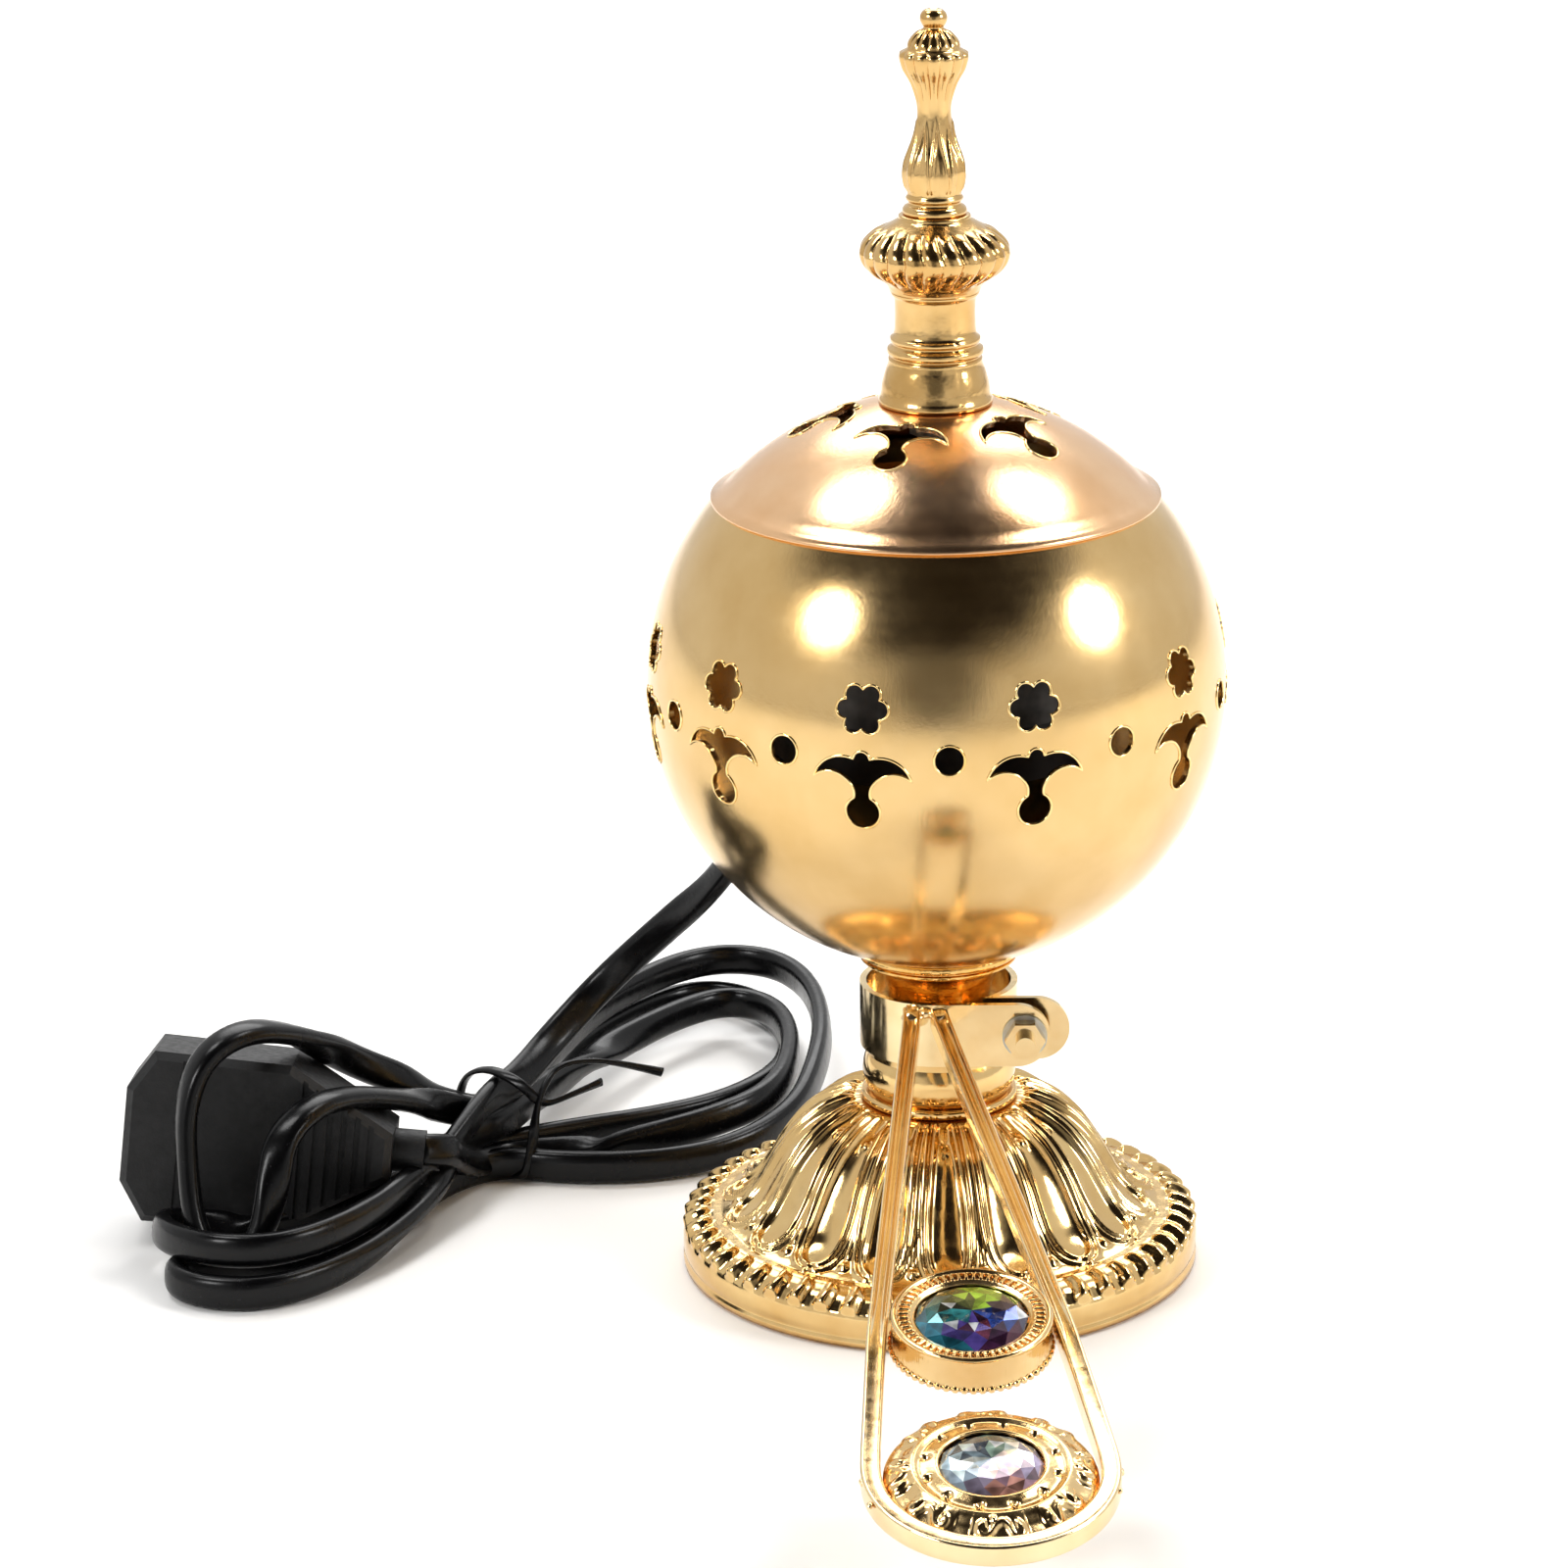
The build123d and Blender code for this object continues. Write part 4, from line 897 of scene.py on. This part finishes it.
WELDS = (((2.0, 0.2, 0.9), (1.7, 1.5, 0.9)), ((-2.0, 0.2, 0.9), (1.7, 1.5, 0.9)),
         ((0.0, -0.1, 1.0), (1.3, 1.3, 0.8)), ((17.7, 119.5, 0.7), (0.42, 0.6, 0.5)),
         ((-17.7, 119.5, 0.7), (0.42, 0.6, 0.5)), ((17.0, 125.0, 0.9), (0.45, 0.6, 0.45)),
         ((-17.0, 124.0, 0.9), (0.45, 0.5, 0.45)))
WELD_LUMPS = 0.07
WELD_SEED = 31
deselect()
for k, (at, size) in enumerate(WELDS):
    bpy.ops.mesh.primitive_ico_sphere_add(subdivisions=4, radius=MM, location=(0, 0, 0))
    bead_of_weld = bpy.context.object
    bead_of_weld.name = f"weld_bead_{k + 1}"
    lumps = np.random.default_rng(WELD_SEED + k).uniform(-1, 1, (3, 3))
    for v in bead_of_weld.data.vertices:
        way = np.array(v.co) / MM
        swell = 1 + WELD_LUMPS * sum(math.sin(3.1 * float(way @ row) + 2 * k) for row in lumps)
        v.co = [MM * (a + w * s * swell) for a, w, s in zip(at, way, size)]
    bead_of_weld.data.transform(handle_frame)
    bpy.ops.object.shade_smooth()
    bead_of_weld.data.materials.append(wire_gold)
    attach(bead_of_weld, "handle")
    deselect()


# ------------------------------------------------------------------ upper medallion
# A turned and knurled zinc button welded across the legs: a rounded lip, a ring of fine teeth, and
# a collet for the stone. Its side shows upright turning marks, over a serrated flange.

UPPER_AT = 86.0
UPPER_FACE = [
    (0.0, -1.2), (8.0, -1.2), (11.4, -1.2), (11.85, -0.95), (11.85, -0.5), (11.5, -0.3),
    (11.42, 0.3), (11.42, 1.8), (11.45, 3.3), (11.5, 3.9), (11.35, 4.25), (11.0, 4.4), (10.7, 4.35),
    (10.5, 4.15), (10.25, 4.05), (9.8, 4.05), (9.35, 4.1), (9.1, 4.1), (8.7, 3.95), (8.35, 3.75),
    (8.15, 3.5), (8.1, 1.4), (4.0, 1.4), (0.0, 1.4)]
UPPER_TEETH = 56
UPPER_STEPS = 672

button = spun("upper_medallion_button", rounded(UPPER_FACE, 3), UPPER_STEPS)
radius, turn, height, out = polar(button)
tooth = np.abs((turn % (360 / UPPER_TEETH)) / (360 / UPPER_TEETH) - 0.5) * 2
top_ring = smooth(8.95, 9.15, radius) * (1 - smooth(10.3, 10.45, radius)) * (height > 3)
serration = smooth(11.3, 11.6, radius) * (height < -0.3)
cut_teeth = 0.75 * (smooth(0.35, 0.65, tooth) - 0.8) * top_ring
push(button, cut_teeth - 0.28 * smooth(0.35, 0.8, tooth) * serration)
# Upright turning marks on the side, each a few hundredths of a millimetre deep.
marks = np.random.default_rng(7).uniform(-1, 1, UPPER_STEPS)
which = np.round((turn % 360) / 360 * UPPER_STEPS).astype(int) % UPPER_STEPS
wall = (radius > 11.3) & (height > 0.0) & (height < 3.7)
push(button, 0.035 * marks[which] * wall)
button.data.transform(handle_frame @ Matrix.Translation((0, UPPER_AT * MM, 0)))
medallion_gold = gold_plate("stamped_gold_plated_brass", "#F2D29A", "#E3BD80", rough=0.15,
                            ripple_mm=0.04, ripple_size=1.6, hollow_shade=0.5, reach_mm=1.4)
button.data.materials.append(medallion_gold)
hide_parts("upper_medallion", "upper_bezel")
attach(button, "handle")


# ------------------------------------------------------------------ lower medallion
# A thin stamped brass disc, domed up to a ring, with eight scrolls and plain bars round its border
# and twelve punched dimples round the stone.

LOWER_AT = 118.6
LOWER_FACE = [
    (0.0, -0.85), (8.0, -0.85), (14.2, -0.85), (14.7, -0.6), (14.8, -0.2), (14.5, 0.15),
    (14.1, 0.45), (13.4, 0.85), (12.6, 1.35), (11.8, 1.85), (11.3, 2.1), (10.8, 2.25), (10.4, 2.15),
    (10.0, 2.0), (9.6, 2.0), (9.1, 2.1), (8.6, 2.25), (8.1, 2.4), (7.7, 2.5), (7.4, 2.45),
    (7.25, 2.2), (7.2, 0.4), (3.0, 0.35), (0.0, 0.35)]
LOWER_STEPS = 720
SCROLLS = 8
SCROLL_TURN = 22.5
SCROLL = [
    (-2.6, -0.2), (-3.1, 0.5), (-2.7, 1.2), (-1.9, 1.2), (-1.5, 0.5), (-1.1, -0.3), (-0.3, -0.6),
    (0.6, -0.1), (1.2, 0.7), (2.0, 1.1), (2.7, 0.7), (2.8, 0.0), (2.3, -0.4)]
STUDS = ((-2.4, 0.5), (2.0, 0.2), (0.9, -1.0))
DIMPLES = 12
DIMPLE_RADIUS = 9.15
BORDER_RADIUS = 12.75

disc = spun("lower_medallion_disc", rounded(LOWER_FACE, 3), LOWER_STEPS)
radius, turn, height, out = polar(disc)
pitch = 360 / SCROLLS
group = np.floor((turn - SCROLL_TURN) / pitch)
local = ((turn - SCROLL_TURN) % pitch) - pitch / 2
side = np.where(group % 2 == 0, 1.0, -1.0)
u = np.radians(local) * 12.9 * side
v = radius - BORDER_RADIUS
nearest = np.full(len(u), 9.0)
line = rounded(SCROLL, 4)
for a, b in zip(line, line[1:]):
    dx, dy = b[0] - a[0], b[1] - a[1]
    t = np.clip(((u - a[0]) * dx + (v - a[1]) * dy) / (dx * dx + dy * dy), 0, 1)
    nearest = np.minimum(nearest, np.hypot(u - a[0] - t * dx, v - a[1] - t * dy))
front = (height > 0.2) & (radius > 7.4)
relief = 0.46 * ridge(nearest, 0.46)
for stud in STUDS:
    relief += 0.35 * ridge(np.hypot(u - stud[0], v - stud[1]), 0.42)
bar = smooth(3.7, 4.1, np.abs(u)) * ridge(v, 0.9)
relief -= 0.28 * bar
relief *= front & (radius > 11.0)
dimple = (turn % (360 / DIMPLES)) - 180 / DIMPLES
around = np.radians(dimple) * radius
relief -= 0.62 * ridge(np.hypot(around, radius - DIMPLE_RADIUS), 0.50) * front
push(disc, relief)
disc.data.transform(handle_frame @ Matrix.Translation((0, LOWER_AT * MM, 0)))
disc.data.materials.append(medallion_gold)
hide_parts("lower_medallion", "lower_bezel")
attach(disc, "handle")


# ------------------------------------------------------------------ crystals
# Two cut glass stones with mirrored backs: a dark one coated so that it flashes green, blue and
# violet, and a clear one that stays pale. Each facet shows its own colour, painted lighter or
# darker at random as light and shade, and a few facets are painted near white as glints.

FACET_SIDES = 12
STONE_RINGS = ((0.36, 1.0, 0.5), (0.60, 0.92, 0.0), (0.82, 0.66, 0.5), (1.0, 0.10, 0.0))
TABLE_RISE = 0.12
FACET_DRIFT = 0.9           # how far a facet's colour may stray round the stone, and its painted light and shade
FACET_LIGHT_AND_SHADE = (0.45, 1.35)
# About one facet in ten is painted near white, as a painted glint.
PAINTED_GLINT_CHANCE = 0.10
PAINTED_GLINT = [0.92, 0.95, 0.97, 1.0]


def cut_stone(name, node_name, at, girdle, low, high, palette, seed):
    """A twelve-sided stone: a shallow pointed table, and crown facets down to the girdle."""
    mesh = bmesh.new()
    rows = []
    for scale, rise, shift in STONE_RINGS:
        row = []
        z = low + (high - low) * rise
        for k in range(FACET_SIDES):
            angle = 2 * math.pi * (k + shift) / FACET_SIDES
            row.append(mesh.verts.new((girdle * scale * math.cos(angle) * MM,
                                       girdle * scale * math.sin(angle) * MM, z * MM)))
        rows.append(row)
    tip = mesh.verts.new((0, 0, (high + TABLE_RISE) * MM))
    base = mesh.verts.new((0, 0, low * MM))
    for k in range(FACET_SIDES):
        after = (k + 1) % FACET_SIDES
        mesh.faces.new((tip, rows[0][k], rows[0][after]))
        for inner, outer, lead in zip(rows, rows[1:], (True, False, True)):
            if lead:
                mesh.faces.new((inner[k], outer[after], inner[after]))
                mesh.faces.new((inner[k], outer[k], outer[after]))
            else:
                mesh.faces.new((inner[k], outer[k], inner[after]))
                mesh.faces.new((outer[k], outer[after], inner[after]))
        mesh.faces.new((rows[3][k], base, rows[3][after]))
    bmesh.ops.recalc_face_normals(mesh, faces=mesh.faces)
    data = bpy.data.meshes.new(name)
    mesh.to_mesh(data)
    mesh.free()
    colours = data.color_attributes.new("facet", "BYTE_COLOR", "CORNER")
    draw = np.random.default_rng(seed)
    for face in data.polygons:
        angle = math.degrees(math.atan2(face.center.y, face.center.x))
        drift = draw.uniform(-FACET_DRIFT, FACET_DRIFT)
        chosen = palette[int((angle + 180) / 360 * len(palette) + drift) % len(palette)]
        # Painted light and shade on each facet, and now and then a painted glint.
        shade = draw.uniform(*FACET_LIGHT_AND_SHADE)
        colour = [min(1.0, c * shade) for c in linear(chosen)[:3]] + [1.0]
        if draw.uniform() < PAINTED_GLINT_CHANCE:
            colour = PAINTED_GLINT
        for loop in face.loop_indices:
            colours.data[loop].color = colour
    data.transform(handle_frame @ Matrix.Translation((0, at * MM, 0)))
    stone = linked(name, data)
    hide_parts(node_name)
    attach(stone, "handle")
    return stone


def foiled_glass(name, mirror):
    """Foil-backed lead crystal: a hard glossy skin over mirrored facets of different colours."""
    material, tree, shader = finish_material(name, Metallic=mirror, Roughness=0.06, IOR=1.62,
                                             Coat_Weight=1.0, Coat_Roughness=0.02)
    facet = add(tree, "Attribute", attribute_name="facet").outputs["Color"]
    cells = add(tree, "TexVoronoi", {"Vector": add(tree, "TexCoord").outputs["Object"],
                                     "Scale": 1 / (1.6 * MM)})
    shade = add(tree, "MapRange", {"Value": cells.outputs["Distance"], "From Min": 0.2,
                                   "From Max": 0.8, "To Min": 0.55, "To Max": 1.25})
    mix = add(tree, "Mix", {"Factor": 1.0}, data_type="RGBA", blend_type="MULTIPLY")
    tree.links.new(facet, mix.inputs["A"])
    tree.links.new(shade.outputs["Result"], mix.inputs["B"])
    tree.links.new(mix.outputs["Result"], shader.inputs["Base Color"])
    return material


VITRAIL = [
    "#3A3550", "#8BBF3A", "#9CCB4A", "#4A5A35", "#2A3A34", "#2F6F78", "#3FA3A8", "#2E7E94",
    "#5A4A9C", "#4A2848", "#6A3048", "#2E4FA8"]
ICE = [
    "#A9A6B8", "#C3CFC9", "#A9C6B4", "#5A6068", "#77828C", "#B4CEDA", "#CFE4EE", "#B5CBDC",
    "#8C8094", "#C08A7C", "#9A7888", "#B7A8C8"]
green_stone = cut_stone("upper_cut_stone", "upper_crystal", UPPER_AT, girdle=8.15, low=3.2,
                        high=4.75, palette=VITRAIL, seed=11)
green_stone.data.materials.append(foiled_glass("foiled_vitrail_glass", 0.55))
clear_stone = cut_stone("lower_cut_stone", "lower_crystal", LOWER_AT, girdle=7.25, low=1.7,
                        high=3.1, palette=ICE, seed=5)
clear_stone.data.materials.append(foiled_glass("foiled_clear_glass", 0.45))


# ------------------------------------------------------------------ stage, lights and camera
# A pale sheet to stand on, two round soft lights at the front corners, two high over the back, one
# for the far floor, a white room with a dark zone, and a long lens a little above the ball.

FLOOR_SIZE = 6.0
AIM = (0.0, 0.0, 0.1)
SKY_STRENGTH = 0.82
DARK_ROOM = (0.022, 0.018, 0.016, 1.0)
ROOM_AXIS = (0.0, -0.375, 0.927)    # the dark ceiling, and the people behind the camera
ROOM_EDGE = (0.50, 0.80)            # cosines where each zone starts and is full
CREW_AXIS = (0.0, -0.966, 0.259)
CREW_EDGE = (0.90, 0.99)
CREW_DARK = 0.8
LENS = 122.85
CAMERA_AT = (0.0, -0.79856, 0.33407)
CAMERA_RIGHT = (0.99980, -0.02014, 0.0)
CAMERA_UP = (0.00529, 0.26270, 0.96486)
SHIFT = (-0.1635, -0.1495)

deselect()
bpy.ops.mesh.primitive_plane_add(size=FLOOR_SIZE, location=(0, 0, 0))
floor = bpy.context.object
floor.name = "floor"
paper, tree, shader = finish_material("matt_white_paper", Roughness=0.9)
shader.inputs["Base Color"].default_value = linear("#FBFAF8")
floor.data.materials.append(paper)


def soft_light(name, at, towards, size, watts):
    """A round soft light, with its size in metres."""
    data = bpy.data.lights.new(name, "AREA")
    data.shape = "DISK"
    data.size = size
    data.energy = watts
    light = linked(name, data)
    light.location = at
    light.rotation_euler = (Vector(towards) - Vector(at)).to_track_quat("-Z", "Y").to_euler()


soft_light("left_softbox", (-0.98, -0.80, 0.91), AIM, 0.46, 9)
soft_light("right_softbox", (1.29, -0.37, 0.73), AIM, 0.46, 9)
soft_light("left_overhead", (-0.61, 0.22, 1.45), AIM, 0.5, 7)
soft_light("right_overhead", (0.70, 0.30, 1.39), AIM, 0.5, 7)
soft_light("far_floor_light", (0.0, 2.0, 1.7), (0.0, 1.5, 0.0), 2.0, 36)

world = bpy.data.worlds.new("studio")
world.use_nodes = True
bpy.context.scene.world = world
sky = world.node_tree
sky.nodes.clear()
# The room above and behind the camera is dark, and the metal shows it as a brown zone.
direction = add(sky, "TexCoord").outputs["Generated"]


def zone(axis, edge, full):
    """A soft round patch of the room about an axis: 0 outside it, and full in its middle."""
    toward = add(sky, "VectorMath", {0: direction, 1: axis}, operation="DOT_PRODUCT")
    return add(sky, "MapRange", {"Value": toward.outputs["Value"], "From Min": edge[0],
                                           "From Max": edge[1], "To Max": full},
               interpolation_type="SMOOTHSTEP").outputs["Result"]


room = zone(ROOM_AXIS, ROOM_EDGE, 1.0)
crew = zone(CREW_AXIS, CREW_EDGE, CREW_DARK)
dark = add(sky, "Math", {0: room, 1: crew}, operation="MAXIMUM").outputs["Value"]
shade = add(sky, "Mix", {"Factor": dark}, data_type="RGBA")
shade.inputs["A"].default_value = (1.0, 1.0, 1.0, 1.0)
shade.inputs["B"].default_value = DARK_ROOM
background = add(sky, "Background",
                 {"Color": shade.outputs["Result"], "Strength": SKY_STRENGTH})
add(sky, "OutputWorld", {"Surface": background.outputs["Background"]})

camera_data = bpy.data.cameras.new("camera")
camera_data.sensor_width = 36.0
camera_data.lens = LENS
camera_data.shift_x, camera_data.shift_y = SHIFT
camera = linked("camera", camera_data)
right, up = Vector(CAMERA_RIGHT).normalized(), Vector(CAMERA_UP).normalized()
turned = Matrix((right, up, right.cross(up))).transposed().to_4x4()
camera.matrix_world = Matrix.Translation(CAMERA_AT) @ turned
bpy.context.scene.camera = camera
bpy.context.scene.view_settings.view_transform = "Standard"
